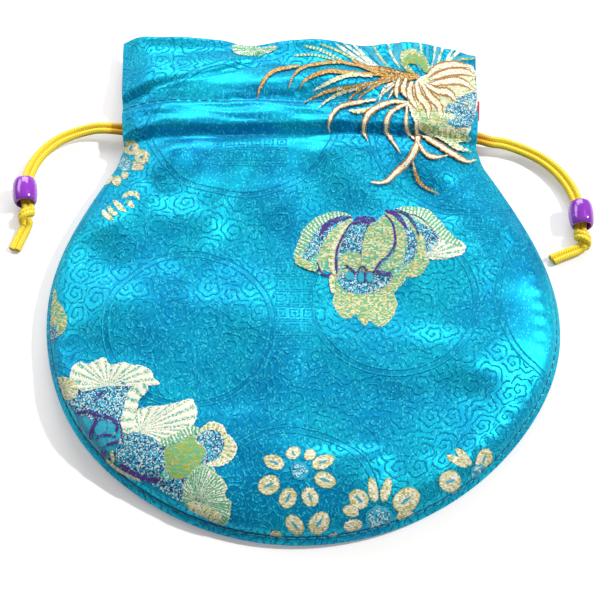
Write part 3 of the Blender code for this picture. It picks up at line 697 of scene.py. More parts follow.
def make_float_material(name, threads, first, second, rim, rim_width, ribs, depth, cell):
    """Each crossing shows one of three threads, the rim one colour, and low ribs run in from it."""
    material, tree, shader = new_material(name + " floats")
    place = in_millimetres(tree, make_nodes(tree, "ShaderNodeTexCoord").outputs["Object"])
    grain = weave_grain(tree, place, *cell)
    run = make_nodes(tree, "ShaderNodeUVMap", uv_map="floats")
    run = make_nodes(tree, "ShaderNodeSeparateXYZ", {0: run})
    picked = grain
    if ribs:
        rib = math_node(tree, "SINE", math_node(tree, "MULTIPLY", run.outputs["Y"], 2 * math.pi / ribs))
        picked = math_node(tree, "MULTIPLY_ADD", rib, depth, grain)
    past_first = math_node(tree, "GREATER_THAN", picked, first)
    past_second = math_node(tree, "GREATER_THAN", picked, second)
    colour = mix_colour(tree, past_first, (*threads[0], 1), (*threads[1], 1))
    colour = mix_colour(tree, past_second, colour, (*threads[2], 1))
    edge = math_node(tree, "MULTIPLY_ADD", grain, 0.5 * rim_width, run.outputs["X"])
    edge = math_node(tree, "LESS_THAN", edge, rim_width)
    colour = mix_colour(tree, edge, colour, (*rim, 1))
    tree.links.new(colour, shader.inputs["Base Color"])
    shader.inputs["Roughness"].default_value = 0.42
    rows = make_nodes(tree, "ShaderNodeSeparateXYZ", {0: place})
    rows = math_node(tree, "SINE", math_node(tree, "MULTIPLY", rows.outputs["Y"], 2 * math.pi / FLOAT_ROW))
    relief = math_node(tree, "MULTIPLY_ADD", rows, 0.4, grain)
    if ribs:
        relief = math_node(tree, "MULTIPLY_ADD", rib, -0.6, relief)
    bump = make_nodes(tree, "ShaderNodeBump", {"Height": relief, "Strength": 0.7, "Distance": 0.00010})
    tree.links.new(bump.outputs[0], shader.inputs["Normal"])
    return material


float_materials = [make_float_material(name, *WEAVES[name]) for name in WEAVE_NAMES]


def on_cloth(x, y, lift):
    """The place on the front panel that the photograph shows at this pixel, or None beside it."""
    focal = LENS / SENSOR * PHOTO_SIZE
    ray = Vector(((x - PHOTO_SIZE / 2) / focal, (PHOTO_SIZE / 2 - y) / focal, -1))
    ray = camera.rotation_euler.to_matrix() @ ray
    hit, normal = front_cloth.ray_cast(camera.location, ray.normalized())[:2]
    return None if hit is None else hit + normal * lift


def petal(t):
    """Share of a stroke's width along it: narrow at the root, widest near the middle, blunt at the tip."""
    return (0.45 + 0.55 * np.sin(np.pi * t)) * np.sqrt(1 - t**6)


def lens(t):
    """Pointed at both ends."""
    return np.sin(np.pi * t) ** 0.55


def even(t):
    """Even all the way, with rounded ends."""
    return np.sqrt(1 - np.abs(2 * t - 1) ** 7)


def lengths(line):
    """How far along the line each of its points lies."""
    return np.concatenate(([0], np.cumsum(np.linalg.norm(np.diff(line, axis=0), axis=1))))


def stroke_grid(width, points, profile):
    """Pixels of a stroke, in rows along it, with the way in from its rim and the run along it."""
    line = smooth_through(points, 8)
    line = smooth_through(points, int(lengths(line)[-1] / FLOAT_END) + 6)
    way = np.gradient(line, axis=0)
    way /= np.linalg.norm(way, axis=1)[:, None] + 1e-9
    across = np.linspace(-1, 1, 7)
    half = width / 2 * np.clip(profile(np.linspace(0, 1, len(line))), 0.02, 1)
    ends = np.random.default_rng(len(line)).normal(0, min(UNEVEN, 0.07 * width), (len(line), 2))
    half = np.maximum(half[:, None] + ends[:, (across > 0).astype(int)], 0.05)
    grid = line[:, None] + np.stack((-way[:, 1], way[:, 0]), axis=-1)[:, None] * (half * across)[..., None]
    return grid, np.broadcast_to(1 - np.abs(across), grid.shape[:2]), lengths(line)


def flock_grid(centre, outline):
    """Pixels of a patch inside a closed outline, in rings round the point that its ribs come from."""
    outline = np.array((*outline, outline[0]), float)
    outline = smooth_through(outline, int(lengths(outline)[-1] / FLOAT_END) + 12)
    run = lengths(outline)
    ends = np.random.default_rng(len(outline)).normal(0, UNEVEN, outline.shape)
    ends[-1] = ends[0]
    rings = np.array(FLOCK_RINGS)
    grid = np.array(centre) + (outline + ends - np.array(centre))[:, None] * rings[:, None]
    return grid, np.broadcast_to(1 - rings, grid.shape[:2]), run


def oval(centre, towards, length, width):
    """The outline of a petal that points at its flower's middle."""
    way = np.array(towards) - np.array(centre)
    way = way / (np.linalg.norm(way) + 1e-9)
    turn = np.linspace(0, 2 * np.pi, 9)[:-1]
    across = np.array((-way[1], way[0]))
    long, wide = way * length / 2, across * width / 2
    return [tuple(np.array(centre) + long * np.cos(a) + wide * np.sin(a)) for a in turn]


def weave_flower(name, patches):
    """One mesh of all the patches of a flower: each is its weave, pixels, way in from the rim and run."""
    places, faces, corners, weaves = [], [], [], []
    for layer, (weave, grid, inward, run) in enumerate(patches):
        found = [on_cloth(x, y, FLOAT_LIFT + layer * FLOAT_STEP) for x, y in grid.reshape(-1, 2)]
        rows, columns = grid.shape[:2]
        run = np.repeat(run[:, None] * FLAT_PER_PIXEL, columns, axis=1)
        first = len(places)
        places += [p or Vector() for p in found]
        for corner in grid_cells(rows, columns):
            if all(found[i] is not None for i in corner):
                faces.append([first + int(i) for i in corner])
                corners += [(inward.ravel()[i], run.ravel()[i]) for i in corner]
                weaves.append(WEAVE_NAMES.index(weave))
    mesh = bpy.data.meshes.new(name)
    mesh.from_pydata([tuple(p) for p in places], [], faces)
    mesh.uv_layers.new(name="floats").uv.foreach_set("vector", np.array(corners, np.float32).ravel())
    for material in float_materials:
        mesh.materials.append(material)
    mesh.polygons.foreach_set("material_index", weaves)
    loose = bmesh.new()
    loose.from_mesh(mesh)
    bmesh.ops.delete(loose, geom=[v for v in loose.verts if not v.link_faces], context="VERTS")
    bmesh.ops.recalc_face_normals(loose, faces=loose.faces)
    loose.to_mesh(mesh)
    loose.free()
    flower = add_object(name, mesh)
    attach(flower, "pouch")


def strokes(profile, *rows):
    return [(weave, *stroke_grid(width, points, profile)) for weave, width, *points in rows]


def flocks(*rows):
    return [(weave, *flock_grid(centre, outline)) for weave, centre, *outline in rows]


# The long-petalled flower at the mouth. A stroke's row: weave, width in pixels, then the pixels of its line
weave_flower("mouth_flower", strokes(
    even,
    ("teal", 9, (407, 70), (398, 58), (398, 43)), ("white", 3, (383, 71), (368, 59), (352, 43)),
    ("white", 3, (374, 70), (358, 59), (336, 44)), ("straw", 2.4, (391, 70), (380, 57), (371, 43)),
    ("white", 2.6, (378, 71), (362, 57), (343, 43)), ("teal", 4, (388, 71), (374, 56), (361, 43)),
    ("white", 2.4, (400, 68), (392, 56), (388, 43)), ("green", 3, (344, 62), (320, 50), (304, 46)),
    ("straw", 2.4, (366, 68), (344, 54), (320, 44)), ("green", 2.4, (334, 60), (312, 55), (294, 56)),
    ("white", 2.6, (431, 75), (434, 59), (435, 43)), ("teal", 3, (427, 72), (427, 58), (427, 43)),
    ("white", 2.6, (436, 76), (439, 59), (444, 44)), ("teal", 3.4, (433, 74), (436, 58), (440, 43)),
    ("white", 3, (440, 76), (451, 59), (463, 50), (477, 51)),
    ("teal", 5, (446, 72), (456, 60), (476, 56)), ("white", 2.6, (442, 74), (447, 60), (454, 47)),
    ("straw", 2.4, (452, 67), (460, 60), (476, 59)), ("teal", 4, (420, 72), (417, 58), (414, 43)),
    ("white", 2, (424, 73), (422, 58), (420, 43)),
) + strokes(
    lens,
    ("straw", 8, (430, 78), (427, 68), (417, 55), (406, 54), (404, 64), (415, 76)),
    ("leaf", 9, (404, 66), (409, 60), (420, 62), (428, 74)),
    ("bronze", 12, (366, 68), (384, 73), (402, 77), (420, 77)),
    ("bronze", 9, (376, 82), (392, 78), (410, 78)), ("bronze", 5, (352, 61), (368, 69), (386, 76)),
) + strokes(
    petal,
    ("bronze", 4.0, (408, 75), (361, 67), (342, 63), (323, 64), (304, 68), (294, 76), (288, 89)),
    ("bronze", 4.4, (300, 67), (291, 68), (272, 73), (261, 86), (257, 99)),
    ("bronze", 4.6, (408, 77), (372, 75), (352, 74), (331, 72), (317, 75), (305, 81), (299, 89)),
    ("cream", 4.2, (372, 77), (352, 76), (336, 80), (323, 86), (312, 92)),
    ("bronze", 4.4, (402, 79), (376, 83), (355, 87), (334, 90), (317, 96), (304, 104)),
    ("cream", 3.6, (372, 85), (352, 90), (339, 94), (329, 100), (318, 109)),
    ("bronze", 3.0, (390, 80), (372, 84), (361, 89), (352, 97), (348, 102)),
    ("bronze", 3.0, (394, 81), (380, 84), (363, 94), (358, 102)),
    ("white", 3.0, (396, 82), (384, 89), (379, 103)),
    ("gold-edged", 3.2, (398, 82), (388, 90), (377, 98)),
    ("gold-edged", 3.2, (402, 82), (394, 90), (388, 100)),
    ("gold-edged", 5.2, (376, 101), (360, 103), (344, 106), (334, 113), (329, 124), (330, 133)),
    ("cream", 4.2, (380, 107), (361, 112), (348, 112)),
    ("gold-edged", 6.4, (408, 104), (393, 103), (380, 107), (369, 114), (364, 124), (364, 134),
     (368, 142)),
    ("gold-edged", 6.0, (410, 104), (395, 110), (388, 118), (386, 129), (391, 140), (401, 154)),
    ("gold-edged", 5.0, (407, 104), (406, 119), (407, 129), (412, 138), (420, 142)),
    ("gold-edged", 7.4, (415, 112), (417, 134), (417, 145), (409, 161), (396, 173), (384, 183),
     (370, 183)),
    ("bronze", 4.2, (413, 162), (417, 177), (423, 186), (440, 195)),
    ("gold-edged", 5.0, (417, 142), (425, 154), (436, 158), (448, 156)),
    ("gold-edged", 6.6, (417, 133), (428, 140), (441, 148), (454, 156), (466, 162), (475, 161)),
    ("cream", 6.0, (430, 134), (446, 141), (458, 149), (470, 153)),
) + flocks(
    ("cream", (446, 96), (418, 80), (440, 70), (468, 67), (477, 80), (477, 100), (470, 128), (458, 142),
     (434, 138), (418, 126), (408, 108), (410, 92)),
    ("straw", (438, 127), (418, 114), (436, 112), (456, 130), (470, 138), (456, 144), (438, 139),
     (422, 130)),
    ("speckled", (459, 113), (446, 106), (460, 98), (474, 94), (474, 112), (470, 126), (456, 128),
     (444, 120)),
) + strokes(
    petal,
    ("gold-edged", 9, (427, 78), (436, 70), (452, 66), (473, 68)),
    ("gold-edged", 9, (430, 81), (447, 74), (463, 73), (475, 78)),
    ("gold-edged", 9, (430, 86), (446, 83), (460, 83), (474, 92)),
    ("gold-edged", 9, (426, 86), (437, 92), (448, 94), (456, 103)),
    ("gold-edged", 9, (422, 86), (430, 98), (438, 107), (440, 120)),
    ("gold-edged", 9, (416, 84), (419, 97), (427, 108), (428, 120)),
    ("gold-edged", 8, (412, 83), (409, 92), (411, 101), (418, 112)),
    ("gold-edged", 7, (406, 80), (403, 90), (406, 99)),
    ("gold-edged", 6, (399, 79), (396, 90), (397, 100)), ("cream", 6, (438, 128), (452, 131), (466, 140)),
))

# The lotus. A patch's row: weave, pixel of its centre, then its outline
weave_flower("lotus", flocks(
    ("mixed", (366, 250), (296, 260), (304, 243), (313, 230), (326, 222), (344, 219), (356, 222),
     (372, 224), (386, 214), (400, 213), (418, 218), (432, 229), (444, 240), (452, 250), (430, 258),
     (424, 268), (412, 276), (398, 278), (384, 288), (364, 292), (344, 288), (334, 274), (318, 268)),
    ("straw", (364, 297), (329, 275), (337, 272), (352, 269), (375, 270), (392, 275), (401, 271),
     (406, 277), (401, 285), (394, 293), (397, 303), (394, 314), (387, 324), (377, 326), (370, 321),
     (365, 325), (359, 320), (356, 314), (350, 318), (343, 318), (337, 311), (333, 303), (334, 292),
     (330, 284)),
    ("speckled", (362, 282), (336, 277), (348, 272), (370, 272), (393, 275), (383, 289), (372, 294),
     (358, 294), (344, 290)),
    ("speckled", (352, 245), (338, 271), (338, 257), (342, 242), (348, 230), (353, 223), (360, 219),
     (371, 222), (366, 231), (363, 242), (361, 255), (360, 268), (350, 268)),
    ("straw", (350, 261), (339, 256), (350, 252), (361, 256), (361, 268), (353, 268), (345, 265),
     (338, 268)),
    ("speckled", (431, 241), (412, 221), (422, 224), (433, 230), (443, 237), (447, 245), (440, 251),
     (428, 255), (421, 248), (418, 236)),
    ("white", (428, 256), (442, 234), (452, 238), (462, 242), (466, 248), (461, 255), (452, 257),
     (442, 260), (430, 259), (422, 254), (436, 250), (444, 245)),
    ("straw", (413, 268), (404, 268), (417, 259), (429, 257), (426, 268), (419, 276), (408, 277),
     (400, 273)),
) + strokes(
    lens,
    ("green", 12, (294, 259), (302, 245), (309, 232), (321, 222), (337, 216), (352, 217)),
    ("speckled", 16, (302, 262), (313, 249), (321, 238), (330, 229), (341, 222), (352, 218)),
    ("violet", 6, (319, 237), (326, 226), (338, 220), (352, 218)),
    ("straw", 12, (320, 275), (322, 260), (329, 245), (337, 234), (344, 227), (353, 219)),
    ("cream", 8, (335, 277), (332, 263), (336, 248), (341, 236), (352, 222)),
    ("violet", 8, (352, 224), (361, 220), (372, 222), (366, 231)),
    ("green", 11, (396, 209), (412, 211), (424, 214), (434, 223), (443, 233), (452, 240), (462, 247)),
    ("straw", 10, (402, 220), (413, 231), (419, 241), (421, 252), (416, 263), (404, 272)),
    ("speckled", 12, (400, 222), (407, 231), (411, 241), (411, 252), (405, 264)),
    ("straw", 10, (385, 213), (396, 223), (401, 235), (401, 247), (397, 260), (388, 268), (378, 273)),
    ("violet", 5, (384, 211), (394, 214), (404, 222)), ("violet", 4, (396, 218), (402, 222), (407, 229)),
) + flocks(
    ("straw", (379, 245), (362, 269), (362, 251), (365, 236), (370, 225), (375, 223), (377, 228),
     (382, 218), (387, 215), (393, 224), (395, 235), (394, 246), (389, 256), (380, 264), (375, 270),
     (368, 271)),
    ("teal", (350, 277), *oval((350, 277), (350, 290), 9, 10)),
    ("teal", (361, 278), *oval((361, 278), (361, 290), 12, 7)),
    ("teal", (370, 278), *oval((370, 278), (370, 290), 11, 8)),
) + strokes(
    even,
    ("violet", 2.4, (384, 214), (392, 223), (395, 235), (394, 247), (388, 256), (380, 263), (374, 272)),
    ("violet", 2.2, (337, 275), (336, 261), (338, 248), (344, 235), (352, 223)),
    ("violet", 2.0, (317, 262), (320, 271), (326, 276), (332, 274)),
    ("violet", 2.0, (345, 265), (350, 268), (356, 273), (362, 267), (369, 272)),
    ("violet", 1.8, (365, 272), (365, 282)), ("violet", 4.0, (375, 272), (392, 275)),
    ("violet", 2.2, (394, 210), (406, 215), (413, 223), (419, 236)),
    ("straw", 8.0, (295, 259), (303, 264), (311, 267), (318, 269)),
    ("cream", 5.0, (331, 276), (333, 294)),
))

# The peony at the lower left
weave_flower("peony", flocks(
    ("mixed", (160, 452), (128, 412), (150, 410), (176, 420), (200, 440), (212, 462), (216, 484),
     (196, 498), (166, 484), (140, 474), (118, 462), (106, 446), (112, 430)),
    ("teal", (98, 432), (74, 410), (92, 408), (112, 414), (122, 428), (120, 446), (110, 460), (98, 452),
     (84, 436)),
    ("speckled", (102, 400), (64, 398), (80, 388), (94, 385), (116, 381), (132, 385), (132, 395),
     (126, 411), (118, 424), (104, 420), (92, 420), (80, 416), (72, 409)),
    ("white", (108, 386), (70, 383), (71, 370), (79, 362), (88, 364), (95, 361), (104, 358), (112, 365),
     (123, 362), (132, 365), (142, 366), (151, 371), (154, 378), (160, 384), (148, 385), (139, 384),
     (129, 386), (116, 385), (104, 386), (94, 388), (82, 391)),
    ("cream", (65, 387), (49, 379), (59, 377), (71, 379), (79, 387), (74, 398), (66, 399), (58, 393),
     (53, 387)),
    ("white", (140, 430), (139, 409), (152, 406), (166, 405), (175, 403), (184, 401), (192, 399),
     (196, 407), (197, 416), (193, 425), (183, 432), (173, 439), (161, 443), (148, 437), (134, 434),
     (128, 426)),
    ("speckled", (143, 456), (119, 438), (134, 433), (149, 436), (161, 444), (169, 452), (167, 465),
     (158, 476), (144, 479), (132, 474), (120, 464), (116, 452)),
    ("speckled", (171, 487), (150, 476), (168, 478), (183, 476), (190, 485), (188, 503), (172, 497),
     (160, 490), (150, 483)),
    ("leaf", (184, 458), (167, 447), (180, 443), (191, 436), (202, 444), (205, 452), (200, 463),
     (192, 473), (180, 479), (171, 476), (166, 465), (164, 454)),
    ("green", (196, 500), (184, 485), (192, 472), (203, 466), (214, 472), (221, 477), (227, 487),
     (225, 495), (231, 503), (230, 515), (226, 524), (216, 522), (203, 516), (190, 509), (183, 499)),
    ("cream", (208, 446), (198, 432), (205, 425), (213, 422), (223, 426), (227, 434), (233, 439),
     (237, 448), (234, 457), (226, 464), (215, 467), (204, 464), (206, 455), (203, 447), (196, 442)),
    ("speckled", (212, 446), (199, 434), (210, 430), (221, 434), (224, 446), (220, 456), (211, 462),
     (202, 463), (206, 455), (204, 447), (197, 441)),
    ("teal", (87, 424), *oval((87, 424), (92, 444), 17, 9)),
    ("teal", (101, 428), *oval((101, 428), (94, 440), 17, 12)),
    ("teal", (102, 442), *oval((102, 442), (96, 450), 12, 11)),
) + strokes(
    even,
    ("white", 13, (148, 386), (136, 393), (131, 407), (128, 421), (128, 434)),
    ("green", 8, (160, 444), (174, 439), (190, 431), (200, 431)),
    ("cream", 11, (188, 503), (205, 511), (222, 519)),
    ("violet", 6, (120, 464), (132, 473), (145, 478), (160, 480)),
    ("cream", 3, (106, 458), (116, 467), (127, 474), (142, 481)),
    ("violet", 3.4, (76, 413), (91, 412), (97, 419), (92, 431), (91, 440)),
    ("violet", 3, (96, 416), (108, 417), (117, 424), (117, 433)),
    ("violet", 2.4, (96, 439), (106, 435), (117, 437)), ("violet", 3, (107, 445), (120, 441)),
    ("violet", 5, (102, 450), (107, 455)), ("violet", 2.6, (94, 402), (100, 396), (104, 391)),
    ("cream", 3, (112, 450), (114, 462)),
))

# The daisies: middle and radius of the stamens, weave, then each petal's middle, length and width
PETAL_GROWTH = 1.14
DAISIES = (
    ((300, 471), 9, "petal", (274, 462, 19, 13), (293, 453, 11, 13), (310, 455, 11, 10), (323, 462, 21, 12),
     (325, 480, 20, 14), (310, 497, 18, 14), (288, 498, 19, 15), (269, 485, 20, 17)),
    ((307, 540), 0, "petal", (295, 525, 20, 14), (319, 523, 22, 17), (276, 534, 11, 6), (333, 535, 9, 4)),
    ((379, 519), 14, "petal", (359, 499, 19, 16), (373, 490, 22, 9), (386, 490, 22, 9), (406, 500, 26, 20),
     (351, 511, 15, 10), (353, 525, 17, 10), (405, 515, 16, 8)),
    ((479, 473), 9, "petal", (457, 461, 21, 7), (464, 457, 20, 7), (484, 459, 19, 14), (450, 481, 20, 19),
     (456, 495, 17, 8), (494, 468, 11, 7)),
    ((125, 164), 8, "petal", (131, 148, 13, 16), (142, 157, 13, 13), (136, 166, 15, 8), (107, 179, 13, 9),
     (117, 181, 9, 8), (125, 175, 8, 6), (119, 148, 7, 7)),
)
for number, (middle, radius, weave, *petals) in enumerate(DAISIES, 1):
    patches = flocks(*[(weave, (x, y), *oval((x, y), middle, PETAL_GROWTH * length, PETAL_GROWTH * width))
                       for x, y, length, width in petals])
    hollows = [(x, y, length, width) for x, y, length, width in petals if width > 11]
    patches += strokes(lens, *[("teal", width * 0.15, *oval((x, y), middle, length * 0.50, 0.1)[0:5:4])
                               for x, y, length, width in hollows])
    if radius:
        patches += flocks(("stamens", middle, *oval(middle, (300, 0), 2 * radius, 2 * radius)))
    weave_flower(f"daisy_{number}", patches)

# Small sprigs at the left edge and the mouth
weave_flower("sprigs", strokes(
    lens,
    ("cream", 5, (122, 199), (128, 194), (136, 194), (139, 200)), ("cream", 5, (127, 200), (134, 208)),
    ("cream", 6, (113, 200), (120, 207), (126, 212)), ("cream", 5.4, (108, 206), (112, 212), (118, 215)),
    ("cream", 5, (102, 210), (107, 216), (114, 220)),
) + flocks(
    ("straw", (56, 316), (49, 289), (56, 290), (57, 299), (62, 306), (67, 318), (66, 328), (59, 336),
     (48, 336), (46, 322), (47, 306)),
    ("speckled", (51, 334), (44, 327), (55, 326), (58, 336), (48, 345)),
    ("green", (254, 50), (231, 46), (245, 44), (262, 48), (277, 46), (272, 52), (254, 56), (236, 54)),
))


# The two linings
# Each is a sheet of thin red satin, cut a little smaller than its panel and caught in the same seams.
# At the right slit the front one has slipped out by half a millimetre.
LINING_INSETS = np.array((3.0, 5.2, 8.0))
LINING_SLIT_INSET = 4.8 * MM
HEM = 1.2 * MM
SLIPPED_OUT = (40.8 * MM, 43.0 * MM, 49.0 * MM, 51.5 * MM)
SLIPPED_BY = 0.55 * MM
SLIPPED_Z = SEAM_Z + 0.75 * MM
LINING_COLUMNS = 96
LINING_ROWS = 100
LINING_RINGS = 4
LINING_RING_STEP = 0.0006
LINING_SEAM_STEP = 0.55 * MM


def lining_grid(seam_z, surface, slips):
    """The points of a lining, in rows and columns."""
    top = (MOUTH_Y - HEM - side_y(0)) / (MOUTH_Y - side_y(0))
    u, v, index = ringed_places(LINING_COLUMNS, LINING_ROWS, LINING_RINGS, LINING_RING_STEP, 0.02, 0.02, top)
    held = sewn(side_y(v))
    sewn_inset = smooth_through(LINING_INSETS[:, None], LINING_RINGS)[index, 0] * MM
    slit_inset = LINING_SLIT_INSET + (sewn_inset - LINING_INSETS[0] * MM)
    y = side_y(v)
    low, full_low, full_high, high = SLIPPED_OUT
    out = smooth_step(low, full_low, y) * (1 - smooth_step(full_high, high, y)) * (u > 0.5) * slips
    slit_inset = slit_inset * (1 - out) - SLIPPED_BY * out * (1 - index / (LINING_RINGS - 1))
    inset = slit_inset + (sewn_inset - slit_inset) * held
    x, y = plan(u, v, inset)
    z = surface(x, y)
    z = z + (SLIPPED_Z - z) * out * (1 - index / (LINING_RINGS - 1))
    z = z + (seam_z - z) * held * (1 - smooth_step(0, LINING_RINGS - 1, index))
    return settled(x, y, z)


red_satin, tree, shader = new_material("red satin")
place = flat_place(tree)
grain = weave_grain(tree, place, 0.20, 0.28)
tone = make_nodes(tree, "ShaderNodeTexNoise", {"Vector": place, "Scale": 0.12, "Detail": 2.0}).outputs[0]
colour = mix_colour(tree, tone, (0.420, 0.010, 0.014, 1), (0.620, 0.026, 0.026, 1))
colour = mix_colour(tree, math_node(tree, "MULTIPLY", grain, 0.25), colour, (0.780, 0.090, 0.070, 1))
tree.links.new(colour, shader.inputs["Base Color"])
shader.inputs["Roughness"].default_value = 0.38
shader.inputs["Sheen Weight"].default_value = 0.3
bump = make_nodes(tree, "ShaderNodeBump", {"Height": grain, "Strength": 0.4, "Distance": 0.00004})
tree.links.new(bump.outputs[0], shader.inputs["Normal"])

front_points = lining_grid(SEAM_Z + LINING_SEAM_STEP, front_lining_top, 1)
back_points = lining_grid(SEAM_Z - LINING_SEAM_STEP, back_lining_under, 0)
for name, points, node, flip in (("front_satin_lining", front_points, "front_lining", False),
                                 ("back_satin_lining", back_points, "back_lining", True)):
    lining = grid_to_mesh(name, points, red_satin, flip)
    thicken(lining, LINING)
    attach(lining, "pouch")
    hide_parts(node)


# The sewing thread
# Lockstitches in turquoise thread: two rows on each panel that make the casing, and the seam round the edge.
# Each stitch is a short twisted float that sinks into the cloth at both ends.
THREAD = 0.28 * MM
STITCH_LENGTH = 2.1 * MM
STITCH_PITCH = 2.6 * MM
ROW_END_INSET = 0.8 * MM
ROW_WANDER = 0.25 * MM
SEAM_INSET = 1.0 * MM
SEAM_SIDE_POINTS = 90
SEAM_BOTTOM_POINTS = 158

sewing_thread, tree, shader = new_material("pale sewing thread")
place = make_nodes(tree, "ShaderNodeTexCoord").outputs["Object"]
twist_sizes = {"Vector": place, "Scale": 900.0, "Distortion": 1.5}
twist = make_nodes(tree, "ShaderNodeTexWave", twist_sizes, bands_direction="DIAGONAL").outputs["Fac"]
colour = mix_colour(tree, twist, (0.002, 0.210, 0.440, 1), (0.030, 0.430, 0.600, 1))
tree.links.new(colour, shader.inputs["Base Color"])
shader.inputs["Roughness"].default_value = 0.45
shader.inputs["Sheen Weight"].default_value = 0.3
bump = make_nodes(tree, "ShaderNodeBump", {"Height": twist, "Strength": 0.5, "Distance": 0.00004})
tree.links.new(bump.outputs[0], shader.inputs["Normal"])


def make_stitch_tree():
    """Geometry nodes: a stitch at every step of the line that comes in."""
    group = bpy.data.node_groups.new("row_of_stitches", "GeometryNodeTree")
    face = group.interface
    face.new_socket("Line", in_out="INPUT", socket_type="NodeSocketGeometry")
    for name, value in (("Pitch", STITCH_PITCH), ("Stitch length", STITCH_LENGTH), ("Thread width", THREAD)):
        face.new_socket(name, in_out="INPUT", socket_type="NodeSocketFloat").default_value = value
    face.new_socket("Thread", in_out="INPUT", socket_type="NodeSocketMaterial")
    face.new_socket("Stitches", in_out="OUTPUT", socket_type="NodeSocketGeometry")
    start = make_nodes(group, "NodeGroupInput")
    line = make_nodes(group, "GeometryNodeMeshToCurve", {"Mesh": start.outputs["Line"]})
    steps = {"Curve": line, "Length": start.outputs["Pitch"]}
    places = make_nodes(group, "GeometryNodeCurveToPoints", steps, mode="LENGTH")
    grain_of_rice = make_nodes(group, "GeometryNodeMeshUVSphere", {"Segments": 8, "Rings": 6, "Radius": 0.5})
    smooth = make_nodes(group, "GeometryNodeSetShadeSmooth", {"Geometry": grain_of_rice})
    width = start.outputs["Thread width"]
    sizes = {"X": width, "Y": width, "Z": start.outputs["Stitch length"]}
    size = make_nodes(group, "ShaderNodeCombineXYZ", sizes)
    laid = {"Points": places.outputs["Points"], "Rotation": places.outputs["Rotation"]}
    laid.update({"Instance": smooth, "Scale": size})
    stitches = make_nodes(group, "GeometryNodeInstanceOnPoints", laid)
    real = make_nodes(group, "GeometryNodeRealizeInstances", {"Geometry": stitches})
    dyeing = {"Geometry": real, "Material": start.outputs["Thread"]}
    dyed = make_nodes(group, "GeometryNodeSetMaterial", dyeing)
    make_nodes(group, "NodeGroupOutput", {"Stitches": dyed})
    return group


stitch_tree = make_stitch_tree()


def make_stitch_row(name, points, node, pitch=STITCH_PITCH, length=STITCH_LENGTH, width=THREAD):
    """Stitches along a line of points, as one plain mesh in place of the CAD's thread."""
    line = bpy.data.meshes.new(name + "_line")
    line.from_pydata([tuple(p) for p in points], [(i, i + 1) for i in range(len(points) - 1)], [])
    path = add_object(name + "_line", line)
    rows = path.modifiers.new("stitches", "NODES")
    rows.node_group = stitch_tree
    values = {"Pitch": pitch, "Stitch length": length, "Thread width": width, "Thread": sewing_thread}
    for item in stitch_tree.interface.items_tree:
        if item.in_out == "INPUT" and item.name in values:
            rows[item.identifier] = values[item.name]
    mesh = bpy.data.meshes.new_from_object(path.evaluated_get(bpy.context.evaluated_depsgraph_get()))
    bpy.data.objects.remove(path)
    bpy.data.meshes.remove(line)
    mesh.name = name
    piece = add_object(name, mesh)
    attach(piece, "pouch")
    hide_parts(node)


for panel, surface, side in (("front", front_panel_top, 1), ("back", back_panel_under, -1)):
    for row, row_y in (("lower", LOWER_STITCH_Y), ("upper", UPPER_STITCH_Y)):
        reach = float(half_width(row_y)) - ROW_END_INSET
        x = np.linspace(-reach, reach, 120)
        y = row_y + ROW_WANDER * np.sin(x * 140) * (side > 0)
        z = surface(x, y) + side * THREAD * 0.22
        make_stitch_row(f"{panel}_{row}_stitches", np.stack((x, y, z), axis=-1), f"{panel}_{row}_stitching")

seam_y = np.linspace(SEAM_END_Y, float(side_y(0)), SEAM_SIDE_POINTS)
seam_v = (seam_y - side_y(0)) / (side_y(1) - side_y(0))
seam_v = np.concatenate((seam_v, np.zeros(SEAM_BOTTOM_POINTS), seam_v[::-1]))
bottom_u = np.linspace(-1, 1, SEAM_BOTTOM_POINTS + 2)[1:-1]
seam_u = np.concatenate((np.full(SEAM_SIDE_POINTS, -1.0), bottom_u, np.full(SEAM_SIDE_POINTS, 1.0)))
seam_x, seam_y = plan(seam_u, seam_v, SEAM_INSET)
seam_points = settled(seam_x, seam_y, SEAM_Z + 0.05 * MM)
make_stitch_row("edge_seam_stitches", seam_points, "edge_seam_thread", 2.2 * MM, 1.9 * MM, 0.34 * MM)


# The drawcords
# Two round braided cords of yellow polyester. Each goes once round the casing, and both its strands come out
# on one side, go through a bead and end in one overhand knot with two cut tails.
STRAND_PITCH = 1.48 * MM
ROW_STEP = 1.3 * MM
PAIR_TILTS = (6, 16, 14, 12, 12, 12)
CORD_SINK = 0.95 * MM
CASING_ENTRY_X = 36.0 * MM
FAR_TURN_X = 41.6 * MM
CORD_CLEARANCE = 0.375 * MM + CORD / 2
BEAD_LENGTH = 6.6 * MM
BEAD_DIAMETER = 6.1 * MM
KNOT_LENGTH = 4.6 * MM
BRAID_PITCH = 0.62 * MM
BRAID_SIDES = 14
BRAID_RELIEF = 0.04
PLAIT_TURNS = 3.0
# Painted reflection and shade on the cords near the slits: where it starts and where it is full, across from
# the middle.
PAINTED_LINING_REFLECTION_FROM = 49.5 * MM
PAINTED_LINING_REFLECTION_FULL = 44.5 * MM

yellow_braid, tree, shader = new_material("yellow braid")
place = make_nodes(tree, "ShaderNodeUVMap", uv_map="along_cord").outputs[0]
parts = make_nodes(tree, "ShaderNodeSeparateXYZ", {0: place})
round_cord = math_node(tree, "MULTIPLY", parts.outputs["X"], PLAIT_TURNS)
hands = []
for direction in ("ADD", "SUBTRACT"):
    winding = math_node(tree, direction, parts.outputs["Y"], round_cord)
    hands.append(math_node(tree, "SINE", math_node(tree, "MULTIPLY", winding, 2 * math.pi)))
plait = math_node(tree, "MAXIMUM", *hands)
raised_and_painted_hollow_shade = soft_band(tree, plait, -0.3, 0.8)
fibre = vector_node(tree, "MULTIPLY", place, (40, 3, 1))
fibre = make_nodes(tree, "ShaderNodeTexNoise", {"Vector": fibre, "Scale": 3.0, "Detail": 2.0}).outputs[0]
# Painted shade: the hollows between the plait's ridges are coloured a deeper orange, where shade falls, and
# the ridges bright yellow.
colour = mix_colour(tree, raised_and_painted_hollow_shade, (1.000, 0.500, 0.006, 1), (1.000, 0.830, 0.030, 1))
